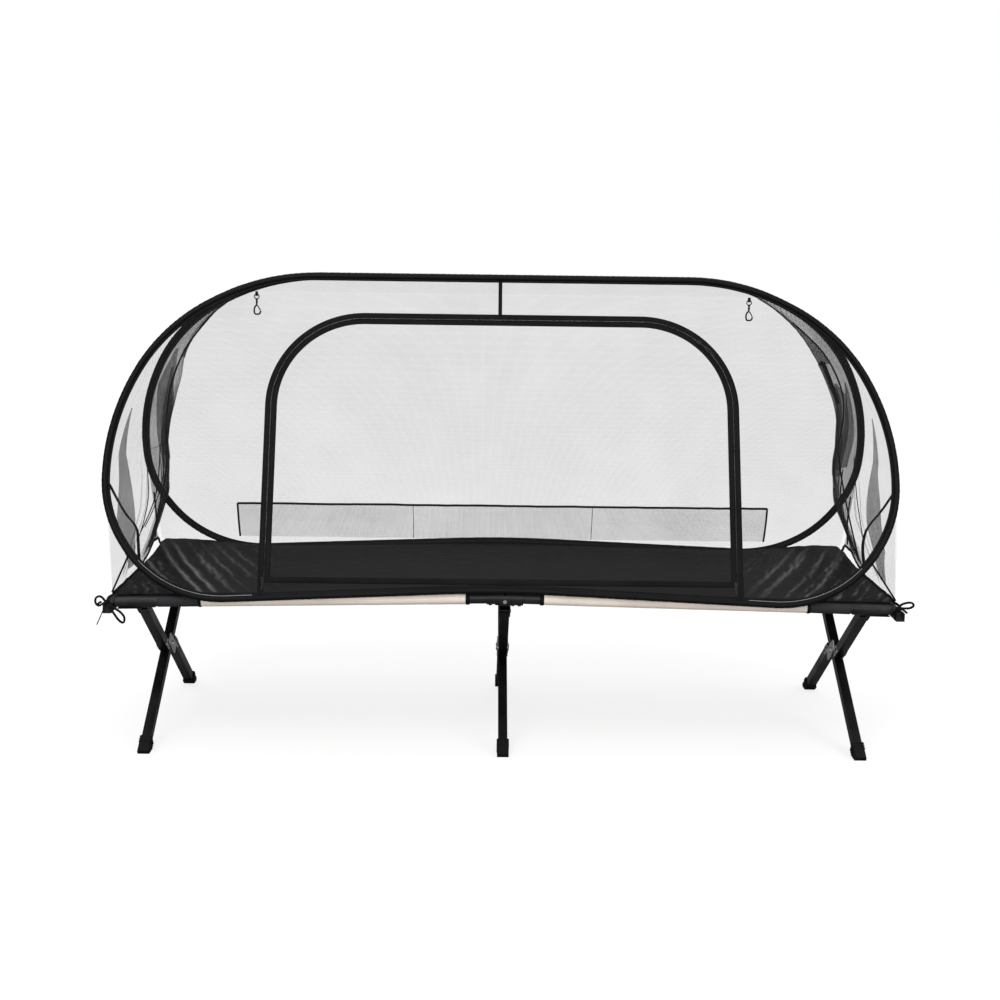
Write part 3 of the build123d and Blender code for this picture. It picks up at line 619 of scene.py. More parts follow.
# ---- hoop sleeves ----------------------------------------------------------------------
def hoop_sleeve(row, node_name):
    """Cloth tube over the spring wire, puckered where it bends, with the seam flange that holds the net."""
    flat = hoop_outline(row, 0.0, 0.005)
    path = [on_plane(row, p.x, p.y) for p in flat]
    outward = Vector((0, row * LEAN_COS, LEAN_SIN))

    def around(i):
        p = flat[i]
        pucker = 0.00030 * wander(i * 0.55, row) + 0.00022 * math.sin(i * 2.1)
        ring = []
        for k, turn in enumerate(turns(14)):
            radius = HOOP_R + pucker + 0.00025 * wander(p.x * 45 + k, p.y * 45, k * 0.7)
            ring.append((radius * math.cos(turn), radius * math.sin(turn)))
        return ring

    tube = sweep(f"{node_name}_tube", path, around, SLEEVE_CLOTH, side=outward, closed=True)
    rim, lip = (
        resample([on_plane(row, p.x, p.y) for p in hoop_outline(row, grow, 0.006)], 0.006, closed=True)
        for grow in (-HOOP_R + 0.0008, -HOOP_R - 0.0052)
    )
    count = min(len(rim), len(lip))
    rows = []
    for i in range(count):
        a = rim[round(i * len(rim) / count) % len(rim)]
        b = lip[round(i * len(lip) / count) % len(lip)]
        wave = 0.0006 * wander(i * 0.3, 4.0, row)
        rows.append([a + outward * 0.0007, b + outward * (0.0006 + wave), b - outward * (0.0004 - wave),
                     a - outward * 0.0007])
    rows.append(rows[0])
    flange = grid(f"{node_name}_flange", rows, SLEEVE_CLOTH)
    seam = [on_plane(row, p.x, p.y, 0.0009) for p in hoop_outline(row, -HOOP_R - 0.0022, 0.006)]
    thread = stitches(f"{node_name}_stitches", seam, 0.0026, 0.0012, 0.00035, THREAD)
    dress(join(f"{node_name}_cloth", [tube, flange, thread]), "tent", [node_name])


hoop_sleeve(FRONT, "front_hoop_sleeve")
hoop_sleeve(BACK, "back_hoop_sleeve")

wires = []
for row in (FRONT, BACK):
    wire_path = [on_plane(row, p.x, p.y) for p in hoop_outline(row, 0.0, 0.02)]
    wires.append(sweep("wire", wire_path, lambda i: circle(0.0029, 8), PIN_STEEL, closed=True))
dress(join("hoop_spring_wires", wires), "tent", ["hoop_wires"])


# ---- flat nets -------------------------------------------------------------------------
NET_SPACING = 0.014
NET_SEEDS = {FRONT: 1.0, BACK: 5.0}


def slack(x, v, seed):
    """How far a net stands off its plane: slack between its seams, with soft diagonal folds."""
    side = max(0.0, 1 - (abs(x) / 0.97) ** 4)
    height = max(0.0, math.sin(math.pi * min(1.0, max(0.0, v / HOOP_TOP))))
    loose = wander(x * 2.3, v * 2.9, seed) * 0.006
    fold = wander(x * 7 + v * 4, v * 1.5 - x, seed + 3) * 0.0022
    return side * height * (loose + fold)


def flat_net(name, row, outline, body, node_name):
    """Net within an outline of a hoop plane, a little slack."""
    def place(x, v):
        return on_plane(row, x, v, slack(x, v, NET_SEEDS[row]))

    dress(panel(name, outline, NET_SPACING, place, NET_FACE), body, [node_name])


door_hole = [Vector(p) for p in door_path(BAND + 0.0006, -0.2)]
front_inside = hoop_outline(FRONT, -HOOP_R - 0.001, 0.012)
back_inside = hoop_outline(BACK, -HOOP_R - 0.001, 0.012)


def clip_loop(loop, cutter, limit):
    """The part of the front outline that the door leaves, as one closed loop."""
    left_foot = min(i for i, p in enumerate(loop) if p.y < 0.1 and -limit < p.x < 0)
    right_foot = max(i for i, p in enumerate(loop) if p.y < 0.1 and 0 < p.x < limit)
    around = [loop[(right_foot + 1 + k) % len(loop)] for k in range((left_foot - right_foot - 1) % len(loop))]
    floor_v = 0.5 * (around[0].y + around[-1].y)
    return around + [p for p in cutter if p.y > floor_v]


front_loop = clip_loop(front_inside, door_hole, DOOR_HALF + BAND)
door_inside = [Vector(p) for p in door_path(-BAND - 0.0004, DOOR_BOTTOM + BAND)]
flat_net("front_net_sheet", FRONT, front_loop, "tent", "front_net")
flat_net("back_net_sheet", BACK, back_inside, "tent", "back_net")
flat_net("door_net_sheet", FRONT, door_inside, "door", "door_net")


# ---- door bands and zip ----------------------------------------------------------------
def band_strip(name, outer, inner, low, material, lift=0.0011):
    """Folded tape between two grows of the door outline, slightly crowned, with turned edges."""
    offsets = [(0.0, 0.0), (0.06, 0.9), (0.3, 1.15), (0.7, 1.15), (0.94, 0.9), (1.0, 0.0)]
    lines = [door_path(outer + (inner - outer) * share, low) for share, _ in offsets]
    rows = []
    for i in range(len(lines[0])):
        ripple = 1 + 0.25 * wander(i * 0.21, outer * 50)
        top = [on_plane(FRONT, *lines[k][i], lift * offsets[k][1] * ripple) for k in range(6)]
        under = [on_plane(FRONT, *lines[k][i], -lift * 0.7 * offsets[k][1]) for k in range(4, 0, -1)]
        rows.append(top + under)
    return grid(name, rows, material, closed=True)


def door_line(grow, low, out):
    return [on_plane(FRONT, *p, out) for p in door_path(grow, low)]


def coil(grow, low):
    """One side of a nylon coil zip: a thin ridged tube."""
    path = resample(door_line(grow, low, 0.0012), 0.0011)
    return sweep("coil", path, lambda i: circle(0.00105 if i % 2 else 0.0007, 6), ZIP_COIL)


SEWING = (0.0027, 0.0013, 0.0003, THREAD)  # length of a stitch, gap, half thickness and thread
ZIP_GAP = 0.0009
frame_parts = [
    band_strip("frame_tape", BAND, ZIP_GAP, 0.002, TAPE),
    stitches("s", door_line(BAND - 0.0022, 0.006, 0.0013), *SEWING),
    stitches("s", door_line(0.0052, 0.006, 0.0014), *SEWING),
    coil(ZIP_GAP, 0.006),
]
dress(join("door_frame_tape", frame_parts), "tent", ["door_frame_band"])

bottom_v = DOOR_BOTTOM + BAND / 2
bottom_path = [on_plane(FRONT, x, bottom_v) for x in spread(-DOOR_HALF + 0.001, DOOR_HALF - 0.001, 150)]
flap_parts = [
    band_strip("flap_tape", -ZIP_GAP, -BAND, DOOR_BOTTOM, TAPE),
    stitches("s", door_line(-BAND + 0.0022, DOOR_BOTTOM + 0.006, 0.0013), *SEWING),
    stitches("s", door_line(-0.0052, DOOR_BOTTOM + 0.006, 0.0014), *SEWING),
    coil(-ZIP_GAP, DOOR_BOTTOM + 0.003),
    sweep("hem", bottom_path, lambda i: strip_profile(BAND, 0.0018), TAPE, side=(0, LEAN_SIN, LEAN_COS)),
]
dress(join("door_flap_tape", flap_parts), "door", ["door_band"])


# ---- shape of the tent floor -----------------------------------------------------------
FLOOR_LIFT = 0.021
FLOOR_SPREAD = 0.011
FOLDS = {
    # for each end: where a long fold crosses the back edge, its half width and its height
    LEFT: ((1.050, 0.014, 0.6), (0.985, 0.013, 1.0), (0.950, 0.010, 1.2), (0.905, 0.015, 0.7),
           (0.862, 0.010, 0.4), (0.820, 0.016, 0.5), (0.780, 0.011, 0.9), (0.715, 0.018, 0.5),
           (0.650, 0.016, 0.3)),
    RIGHT: ((1.060, 0.014, 0.5), (0.990, 0.018, 0.8), (0.935, 0.012, 0.6), (0.885, 0.024, 1.3),
            (0.835, 0.014, 0.8), (0.765, 0.016, 0.5), (0.700, 0.018, 0.4), (0.645, 0.016, 0.3)),
}
FOLD_HEIGHT = 0.0085
FOLD_SLANT = 0.40


def floor_fold(x, y):
    """Long tension folds at both ends of the floor and faint slack between them."""
    side = RIGHT if x > 0 else LEFT
    near_end = smooth(0.46, 0.84, abs(x))
    q = abs(x) - FOLD_SLANT * (y - 0.30)
    bend = 0.012 * wander(x * 3.5, y * 3.5, side * 3.0) + 0.004 * wander(x * 12, y * 12, side)
    ridges = 0.0
    for centre, width, height in FOLDS[side]:
        d = (q + bend - centre) / width
        along = 0.65 + 0.35 * wander(centre * 20, y * 4, side)
        ridges += height * along / (1 + d * d * d * d + d * d)
    small = 0.22 * wander(q * 60, y * 9, side) + 0.16 * wander(q * 110 + y * 12, y * 26, side)
    slackness = 0.0013 * wander(x * 4.2, y * 6.5, 9.0) + 0.0006 * wander(x * 13, y * 17, 5.0)
    fade = smooth(0.0, 0.04, 0.31 - abs(y)) * 0.8 + 0.2
    return fade * (FOLD_HEIGHT * near_end * (ridges + small) + slackness)


def floor_painted_highlight(x, y):
    """How much painted highlight a spot of the taffeta gets: most on the flank of a fold that looks to the
    middle.
    """
    reach = 0.004
    slope = (floor_fold(x + reach, y) - floor_fold(x - reach, y)) / (2 * reach)
    facing = slope if x > 0 else -slope
    return min(1.0, max(0.0, 2.7 * facing - 0.10)) * smooth(0.32, 0.02, y) * smooth(0.50, 0.75, abs(x)) + 0.03


def floor_height(x, y):
    base = rail_z(x) + FLOOR_RISE
    ridge_round = 0.0006 * math.exp(-((x / 0.05) ** 2))
    trough = -0.0035 * smooth(0.30, 0.0, abs(y)) if abs(y) < 0.30 else 0.0
    lift = smooth(0.60, 0.93, abs(x)) * smooth(-0.05, 0.30, y)
    return base + trough - ridge_round + floor_fold(x, y) + FLOOR_LIFT * lift


def floor_edge(side, y, up=0.0):
    """A point of the floor's end edge, which lies a little wider at the back."""
    x = side * (FLOOR_X + FLOOR_SPREAD * smooth(0.0, 0.28, y))
    return Vector((x, y, floor_height(side * FLOOR_X, y) + up))


# ---- end nets --------------------------------------------------------------------------
def side_line(row, side):
    """Edge of an end net on a hoop: from the ridge shoulder down, then straight to the floor corner."""
    outline = hoop_outline(row, HOOP_R * 0.3, 0.010)
    mirrored = [Vector((side * abs(p.x), p.y)) for p in outline if p.x * side > 0 and p.y > 0.345]
    mirrored.sort(key=lambda p: (-p.y, abs(p.x)) if abs(p.x) > 0.62 else (-2, abs(p.x)))
    shoulder = [p for p in mirrored if abs(p.x) > 0.44]
    line = [on_plane(row, p.x, p.y) for p in shoulder]
    return line + [floor_edge(side, row * FLOOR_Y, 0.001)]


NET_ROWS = 170
NET_COLUMNS = 240
SAGS = {
    # height and how far in the net hangs there, for each end
    LEFT: ((1.20, 0.0), (1.13, 0.010), (1.08, 0.028), (1.00, 0.058), (0.95, 0.086), (0.86, 0.099),
           (0.77, 0.100), (0.67, 0.101), (0.58, 0.090), (0.50, 0.050), (0.42, 0.0)),
    RIGHT: ((1.20, 0.0), (1.14, 0.015), (1.09, 0.040), (1.03, 0.064), (0.95, 0.082), (0.86, 0.090),
            (0.77, 0.106), (0.69, 0.112), (0.58, 0.098), (0.50, 0.052), (0.42, 0.0)),
}
RIPPLES = (
    # place across the depth, its spread, top of the ripples, height over which they open, size, count
    (0.20, 0.050, 0.88, 0.30, 0.0050, 24.0),
    (0.47, 0.060, 1.03, 0.22, 0.0050, 22.0),
    (0.60, 0.035, 0.90, 0.25, 0.0040, 26.0),
    (0.84, 0.050, 0.86, 0.28, 0.0050, 24.0),
)


def sag_at(side, z):
    """How far in the net hangs half way between the hoops, by height."""
    table = SAGS[side]
    for (z1, sag1), (z0, sag0) in zip(table, table[1:]):
        if z >= z0:
            return sag0 + (sag1 - sag0) * (z - z0) / (z1 - z0)
    return 0.0


def end_net(side, name):
    """Slack net between the two hoops: it hangs in, and ripples a little toward the floor."""
    edges = []
    for row in (FRONT, BACK):
        line = side_line(row, side)
        total = sum((b - a).length for a, b in zip(line, line[1:]))
        edges.append(resample(line, total / NET_ROWS)[: NET_ROWS + 1])
    rows = []
    for i in range(NET_ROWS + 1):
        s = i / NET_ROWS
        front_point, back_point = edges[0][i], edges[1][i]
        z = 0.5 * (front_point.z + back_point.z)
        hang = (sag_at(side, z - 0.02) + 2 * sag_at(side, z) + sag_at(side, z + 0.02)) / 4
        ahead = edges[0][min(i + 1, NET_ROWS)] - edges[0][max(i - 1, 0)]
        inward = Vector((ahead.z, 0, -ahead.x)).normalized()
        if inward.x * side > 0:
            inward = -inward
        foot = smooth(1.0, 0.955, s)
        row_points = []
        for j in range(NET_COLUMNS + 1):
            t = j / NET_COLUMNS
            across = 4 * t * (1 - t)
            edge = smooth(0.0, 0.05, t) * (1 - smooth(0.95, 1.0, t))
            push = hang * across ** 0.75 * (1 + 0.05 * wander(s * 3, t * 4, side * 2.0))
            for centre, spread, top, opening, size, count in RIPPLES:
                lean = centre + 0.03 * wander(z * 5, centre * 9, side) + 0.02 * (z - 0.7)
                swell = math.exp(-(((t - lean) / spread) ** 2)) * smooth(top, top - opening, z)
                phase = math.tau * count * (t - lean) + 0.7 * wander(t * 20, z * 3, side)
                uneven = 1 + 0.25 * wander(z * 8, centre, t * 3)
                push += edge * foot * size * swell * math.sin(phase) * uneven
            fine = math.sin(math.tau * (t * 26 + 0.8 * wander(t * 9, s * 2, 7.0)))
            push += edge * (0.0005 * foot + 0.0002) * fine
            hem_shift = floor_edge(side, FLOOR_Y * (2 * t - 1), 0.001) - edges[0][-1].lerp(edges[1][-1], t)
            settled = hem_shift * smooth(0.86, 1.0, s)
            row_points.append(front_point.lerp(back_point, t) + inward * push + settled)
        rows.append(row_points)
    return grid(f"{name}_sheet", rows, NET_END)


def even_net(sheet):
    """The places of an end net with its ripples averaged out, for what is sewn or folded along it."""
    places = np.array([v.co for v in sheet.data.vertices]).reshape(NET_ROWS + 1, NET_COLUMNS + 1, 3)
    padded = np.pad(places[..., 0], ((0, 0), (8, 8)), mode="edge")
    places[..., 0] = sum(padded[:, k:k + NET_COLUMNS + 1] for k in range(17)) / 17
    return places


def net_point(places, z, t, side, out=0.001):
    """The point of an end net at a height and a share of its depth, a little outside or inside it."""
    column = t * NET_COLUMNS
    first = min(int(column), NET_COLUMNS - 1)
    share = column - first
    line = (places[:, first] * (1 - share) + places[:, first + 1] * share)[::-1]
    x = np.interp(z, line[:, 2], line[:, 0])
    y = np.interp(z, line[:, 2], line[:, 1])
    return Vector((x + side * out, y, z))


def net_tape(places, stations, side, width):
    """Binding tape along an end net, through listed heights and depths."""
    path = curve([net_point(places, z, t, side) for z, t in stations], 0.006)
    level = abs(stations[0][0] - stations[-1][0]) < 0.01
    across = (0, 0, 1) if level else (1, 0.5 * side, 0)
    return sweep("tape", path, lambda i: strip_profile(width, 0.0014), TAPE, side=across)


def net_fold(places, side, stations, layer):
    """Net doubled over into a flat pleat: its two edges pass through (height, depth, depth)."""
    heights, firsts, lasts = zip(*reversed(stations))
    rows = []
    for z in spread(heights[-1], heights[0], 60):
        line = []
        for k, t in enumerate(spread(np.interp(z, heights, firsts), np.interp(z, heights, lasts), 10)):
            puff = 0.0012 * math.sin(math.pi * k / 10) + 0.0006 * wander(z * 14, t * 9, layer * 500)
            line.append(net_point(places, z, t, side, -0.0015 - puff - layer))
        rows.append(line)
    return grid("fold", rows, NET_FOLD)


SEAMS = {
    # stations (height, depth) of the bindings across each end net, and their width
    LEFT: (
        (((0.655, 0.0), (0.585, 0.06), (0.54, 0.18), (0.495, 0.25), (0.43, 0.43)), 0.0088),
        (((0.56, 0.99), (0.51, 0.965), (0.46, 0.955), (0.43, 0.95)), 0.0050),
        (((1.07, 0.55), (1.00, 0.74), (0.93, 0.84), (0.85, 0.84), (0.74, 0.74), (0.62, 0.70), (0.43, 0.72)),
         0.0050),
        (((0.78, 0.20), (0.68, 0.23), (0.59, 0.26), (0.51, 0.24)), 0.0022),
        (((0.73, 0.40), (0.66, 0.37), (0.58, 0.32), (0.52, 0.24)), 0.0030),
        (((0.66, 0.47), (0.59, 0.40), (0.53, 0.28)), 0.0022),
    ),
    RIGHT: (
        (((0.655, 0.0), (0.61, 0.05), (0.57, 0.13), (0.54, 0.20), (0.48, 0.35), (0.43, 0.45)), 0.0088),
        (((0.57, 0.99), (0.52, 0.965), (0.47, 0.955), (0.43, 0.95)), 0.0050),
        (((1.06, 0.70), (1.01, 0.83), (0.957, 0.88), (0.876, 0.90), (0.796, 0.86), (0.70, 0.62),
          (0.43, 0.58)), 0.0050),
        (((0.956, 0.50), (0.9565, 0.62), (0.956, 0.745)), 0.0100),
        (((0.956, 0.745), (0.91, 0.75), (0.847, 0.76)), 0.0140),
        (((0.73, 0.24), (0.65, 0.22), (0.58, 0.20), (0.52, 0.24)), 0.0022),
        (((0.69, 0.36), (0.60, 0.47), (0.51, 0.56), (0.44, 0.55)), 0.0030),
    ),
}
NET_FOLDS = {
    # flat pleats of each end net: stations (height, depth of one edge, depth of the other), and the layer
    LEFT: (
        (((0.835, 0.050, 0.055), (0.66, 0.040, 0.10), (0.57, 0.025, 0.13), (0.50, 0.06, 0.19),
          (0.43, 0.22, 0.32)), 0.0),
        (((0.66, 0.50, 0.52), (0.56, 0.52, 0.80), (0.43, 0.66, 0.94)), 0.0),
        (((0.97, 0.92, 0.95), (0.87, 0.80, 0.97), (0.76, 0.56, 0.92), (0.64, 0.48, 0.88)), 0.0),
        (((0.92, 0.90, 0.92), (0.80, 0.72, 0.88), (0.68, 0.60, 0.86)), 0.002),
        (((1.12, 0.30, 0.60), (1.04, 0.45, 0.70), (0.95, 0.60, 0.80)), 0.0),
        (((0.62, 0.60, 0.63), (0.52, 0.62, 0.78), (0.43, 0.60, 0.70)), 0.002),
    ),
    RIGHT: (
        (((0.83, 0.05, 0.055), (0.70, 0.065, 0.10), (0.63, 0.055, 0.13), (0.51, 0.05, 0.15),
          (0.43, 0.10, 0.18)), 0.0),
        (((0.954, 0.50, 0.745), (0.90, 0.62, 0.75), (0.86, 0.72, 0.75)), 0.0),
        (((0.90, 0.82, 0.86), (0.87, 0.76, 0.92), (0.78, 0.55, 0.92), (0.64, 0.45, 0.88)), 0.0),
        (((0.89, 0.84, 0.86), (0.78, 0.62, 0.86), (0.66, 0.52, 0.84)), 0.002),
        (((0.90, 0.955, 0.965), (0.74, 0.86, 0.97), (0.66, 0.84, 0.95)), 0.004),
        (((1.12, 0.40, 0.66), (1.04, 0.52, 0.80), (0.952, 0.62, 0.88)), 0.0),
        (((0.62, 0.66, 0.70), (0.56, 0.64, 0.84), (0.43, 0.66, 0.87)), 0.0),
        (((0.62, 0.38, 0.40), (0.53, 0.40, 0.50), (0.43, 0.46, 0.55)), 0.0),
    ),
}
for end_name, side in ENDS.items():
    sheet = end_net(side, f"end_net_{end_name}")
    places = even_net(sheet)
    tapes = [net_tape(places, stations, side, width) for stations, width in SEAMS[side]]
    hem_path = [floor_edge(side, y, 0.0030) for y in spread(-FLOOR_Y, FLOOR_Y, 60)]
    tapes.append(sweep("hem", hem_path, lambda i: strip_profile(0.0085, 0.0018), TAPE, side=(0, 0, 1)))
    folds = [net_fold(places, side, stations, layer) for stations, layer in NET_FOLDS[side]]
    dress(sheet, "tent", [f"end_net_{end_name}"])
    dress(join(f"end_net_{end_name}_tapes", tapes), "tent")
    dress(join(f"end_net_{end_name}_folds", folds), "tent")


# ---- ridge, straps and gussets ---------------------------------------------------------
ridge_z = TENT_BASE_Z + HOOP_TOP * LEAN_COS
RIDGE_HALF = 0.35
ridge_rows = []
for x in spread(-RIDGE_HALF, RIDGE_HALF, 140):
    wave = 0.0003 * wander(x * 30, 2.0)
    ridge_rows.append([Vector((x, b + wave, ridge_z + a)) for a, b in strip_profile(0.0136, 0.0036)])
ridge_tape = grid("ridge_tape_strip", ridge_rows, TAPE, closed=True)
stitched = RIDGE_HALF - 0.002
ridge_path = [Vector((x, -0.0021, ridge_z + 0.004)) for x in spread(-stitched, stitched, 60)]
ridge_stitch = stitches("ridge_stitch", ridge_path, 0.0028, 0.0014, 0.0003, THREAD, side=(0, 0, 1))
dress(join("ridge_tape", [ridge_tape, ridge_stitch]), "tent", ["ridge_binding"])

strap_foot = DOOR_TOP + BAND - 0.004
strap_path = [on_plane(FRONT, -0.008, v, 0.0016) for v in spread(strap_foot, strap_foot + 0.094, 12)]
strap = sweep("strap", strap_path, lambda i: strip_profile(0.0095, 0.0012), TAPE, side=(1, 0, 0))
strap_seams = [strap]
for offset in (-0.0034, 0.0034):
    line = [p + Vector((offset, 0, 0)) + Vector((0, -0.0006, 0.0003)) for p in strap_path]
    strap_seams.append(stitches("s", line, 0.0026, 0.0013, 0.00028, THREAD, side=(1, 0, 0)))
dress(join("centre_strap_tape", strap_seams), "tent", ["centre_strap"])


def gusset(row, side):
    """Net between the hoop's lower curve and the tent's floor corner."""
    curve_part = [p for p in hoop_outline(row, HOOP_R * 0.5) if p.x * side > 0.80 and -0.02 < p.y < 0.345]
    curve_part.sort(key=lambda p: p.y)
    raised = FLOOR_LIFT * 0.8 if row == BACK else 0.0
    corner = Vector((side * FLOOR_X - SHIFT[row], 0.004 + raised))
    low_edge = [curve_part[0].lerp(corner, k / 12) for k in range(1, 12)]
    outer = [corner.lerp(curve_part[-1] + Vector((side * 0.001, 0)), k / 30) for k in range(30)]
    outline = low_edge + outer + list(reversed(curve_part))

    def place(x, v):
        pull = smooth(0.0, 0.2, v) * 0.0025 * wander(x * 18, v * 9, side)
        base = on_plane(row, x, v, pull)
        base.y -= row * 0.012 * max(0.0, 1 - v / 0.12)
        return base

    net = panel(f"gusset_{row}_{side}", outline, 0.012, place, NET_FACE)
    if row == BACK:
        return net, None
    start = min(curve_part, key=lambda p: abs(p.y - 0.095))
    seam = [place(*start.lerp(corner, k / 30)) + Vector((0, row * 0.0012, 0)) for k in range(31)]
    return net, sweep("seam", seam, lambda i: strip_profile(0.0046, 0.0016), TAPE, side=(1, 0, 0))


CORNERS = [(row, side) for row in (FRONT, BACK) for side in (LEFT, RIGHT)]
gussets = [gusset(row, side) for row, side in CORNERS]
dress(join("corner_gusset_nets", [net for net, _ in gussets]), "tent", ["corner_gussets"])
dress(join("corner_gusset_seams", [seam for _, seam in gussets if seam]), "tent")


# ---- tent floor ------------------------------------------------------------------------
floor_rows = []
for x in spread(-FLOOR_X, FLOOR_X, 384):
    row_points = []
    for y in spread(-FLOOR_Y, FLOOR_Y, 122):
        pull = 0.004 * wander(y * 9, 2.0, x) * smooth(0.90, FLOOR_X, abs(x))
        wide = FLOOR_SPREAD * smooth(0.80, FLOOR_X, abs(x)) * smooth(0.0, 0.28, y)
        row_points.append(Vector((x - math.copysign(abs(pull) - wide, x), y, floor_height(x, y))))
    floor_rows.append(row_points)
tent_floor = grid("tent_floor_sheet", floor_rows, FLOOR_CLOTH)
# painted highlight: a share for each point of the floor, which its material mixes toward a pale colour
painted_highlight = tent_floor.data.attributes.new("painted_highlight", "FLOAT", "POINT")
painted_highlight.data.foreach_set("value", [floor_painted_highlight(v.co.x, v.co.y) for v in tent_floor.data.vertices])
dress(tent_floor, "tent", ["tent_floor"])


def floor_joint(row):
    """Cloth that rises from the floor's long edge to the hoop's lower curve, with a pale piping line."""
    under = [p for p in hoop_outline(row, -HOOP_R * 0.4, 0.008) if p.y < 0.022]
    under.sort(key=lambda p: p.x)
    rows = []
    for p in under:
        high = on_plane(row, p.x, p.y, -0.006)
        x = p.x + SHIFT[row]
        low_y = row * (FLOOR_Y - 0.006)
        low = Vector((x, low_y, floor_height(x, low_y) + 0.0008))
        line = []
        for t in spread(0.0, 1.0, 8):
            mid = low.lerp(high, t)
            mid.z -= 0.30 * max(0.0, high.z - low.z) * math.sin(math.pi * t)
            mid.z += 0.0012 * wander(x * 22, t * 3, row) * math.sin(math.pi * t)
            line.append(mid)
        rows.append(line)
    cloth = grid(f"floor_joint_{row}", rows, FLOOR_CLOTH)
    pipings = []
    for side in ENDS.values():
        edge = [on_plane(row, p.x, p.y, 0.0066) for p in hoop_outline(row, -HOOP_R * 0.85, 0.008)
                if p.y < 0.085 and p.x * side > 0.60]
        edge.sort(key=lambda p: p.x)
        pipings.append(sweep("piping", edge, lambda i: circle(0.0008, 6), PIPING))
    return cloth, join("piping", pipings)


cloths, pipings = zip(*(floor_joint(row) for row in (FRONT, BACK)))
dress(join("floor_edge_cloth", cloths), "tent")
dress(join("floor_edge_piping", pipings), "tent")


# ---- mesh pocket -----------------------------------------------------------------------
def pocket_place(x, v):
    up = (v - POCKET_LOW) / (POCKET_TOP - POCKET_LOW)
    belly = 0.0035 * math.sin(math.pi * up)
    crumple = 0.0028 * wander(x * 11, v * 16, 2.0) + 0.0012 * wander(x * 34, v * 30, 8.0)
    return on_plane(BACK, x, v, -0.0045 - belly - crumple * (0.4 + 0.6 * up))


def pocket_upright(x):
    return [pocket_place(x, v) for v in spread(POCKET_LOW, POCKET_TOP, 18)]


POCKET_DIVIDER = 0.250
pocket_xs = spread(-POCKET_HALF, POCKET_HALF, 184)
pocket_sheet = grid("pocket_sheet", [pocket_upright(x) for x in pocket_xs], POCKET_NET)
dress(pocket_sheet, "tent", ["mesh_pocket"])
top_line = [pocket_place(x, POCKET_TOP) for x in pocket_xs]
pocket_trim = [sweep("top", top_line, lambda i: strip_profile(0.0065, 0.0018), TAPE, side=(0, 0.37, 0.93))]
for x in (-POCKET_HALF, -POCKET_DIVIDER, POCKET_DIVIDER, POCKET_HALF):
    profile = strip_profile(0.0055 if abs(x) > POCKET_DIVIDER else 0.0018, 0.0014)
    pocket_trim.append(sweep("side", pocket_upright(x), lambda i, p=profile: p, TAPE, side=(1, 0, 0)))
dress(join("pocket_binding", pocket_trim), "tent")


# ---- hooks and their straps ------------------------------------------------------------
HOOK_EYE_Z = 1.112
HOOK_V = 0.792
HOOK_Y = -TENT_BASE_Y + HOOK_V * LEAN_SIN + 0.009
STRAP_TOP = TENT_BASE_Z + HOOK_V * LEAN_COS - 0.010 - HOOK_EYE_Z
EYE_R = 0.0060
# places (along the bed, up, out across it) from the centre of a hook's eye
STRAP_LOOP = ((0, STRAP_TOP, -0.0022), (0, 0.008, -0.0032), (0, -0.001), (0, 0.008, 0.0032),
              (0, STRAP_TOP, 0.0022))
CROOK = ((0, -0.018), (-0.001, -0.023), (-0.0062, -0.028), (-0.0070, -0.038), (-0.0050, -0.0452),
         (0.0012, -0.0456), (0.0086, -0.0440), (0.0094, -0.0368))
SWIVEL_RADII = (0.0030, 0.0034, 0.0034, 0.0030, 0.0022, 0.0020, 0.0026, 0.0030, 0.0031, 0.0028, 0.0024,
                0.0022, 0.0020)


def snap_hook(end_name, x):
    """Swivel hook with its gate; gives back the strap loop that it hangs in."""
    def at(dx, dz, dy=0.0):
        return Vector((x + dx, HOOK_Y + dy, HOOK_EYE_Z + dz))

    loop_path = curve([at(*p) for p in STRAP_LOOP])
    loop = sweep("loop", loop_path, lambda i: strip_profile(0.0066, 0.0011), TAPE, side=(1, 0, 0))
    eye = [at(EYE_R * math.cos(a), EYE_R * math.sin(a) - 0.0005) for a in turns(28)]
    eye_ring = sweep("eye", eye, lambda i: circle(0.0013, 8), HOOK_PLASTIC, closed=True)
    swivel_path = [at(0, -0.0065 - 0.001 * k) for k in range(len(SWIVEL_RADII))]
    swivel = sweep("swivel", swivel_path, lambda i: circle(SWIVEL_RADII[i], 12), HOOK_PLASTIC)
    crook_path = curve([at(*p) for p in CROOK], 0.001)
    crook = sweep("crook", crook_path, lambda i: circle(0.0021, 10, 0.9), HOOK_PLASTIC)
    hook = join(f"snap_hook_{end_name}", [eye_ring, swivel, crook])
    dress(hook, f"hook_{end_name}", [f"hook_{end_name}"])
    gate_path = [at(0.0091 - 0.0078 * t, -0.0355 + 0.0130 * t) for t in spread(0.0, 1.0, 8)]
    gate = sweep(f"snap_gate_{end_name}", gate_path, lambda i: circle(0.0015, 10), HOOK_PLASTIC)
    dress(gate, f"gate_{end_name}", [f"hook_gate_{end_name}"])
    return loop


straps = [snap_hook(end_name, side * HOOK_X + SHIFT[FRONT]) for end_name, side in ENDS.items()]
dress(join("hook_strap_tapes", straps), "tent", ["hook_straps"])


# ---- zip sliders -----------------------------------------------------------------------
# each part of a slider: (place along it, half width) pairs, then its underside and top off the net
SLIDER_BODY = ([(-0.0068, 0.0030), (-0.006, 0.0042), (-0.002, 0.0046), (0.002, 0.0042), (0.0052, 0.0050),
                (0.0068, 0.0034)], 0.0022, 0.0054)
SLIDER_BRIDGE = ([(-0.0028, 0.0007), (-0.0018, 0.0012), (0.0036, 0.0012), (0.0048, 0.0007)], 0.0052, 0.0074)
SLIDER_PULL = ([(-0.0245, 0.0010), (-0.0238, 0.0020), (-0.019, 0.0023), (-0.006, 0.0014), (-0.0005, 0.0019),
                (0.0004, 0.0010)], 0.0064, 0.0076)
SLAB_BULGE = 0.0002


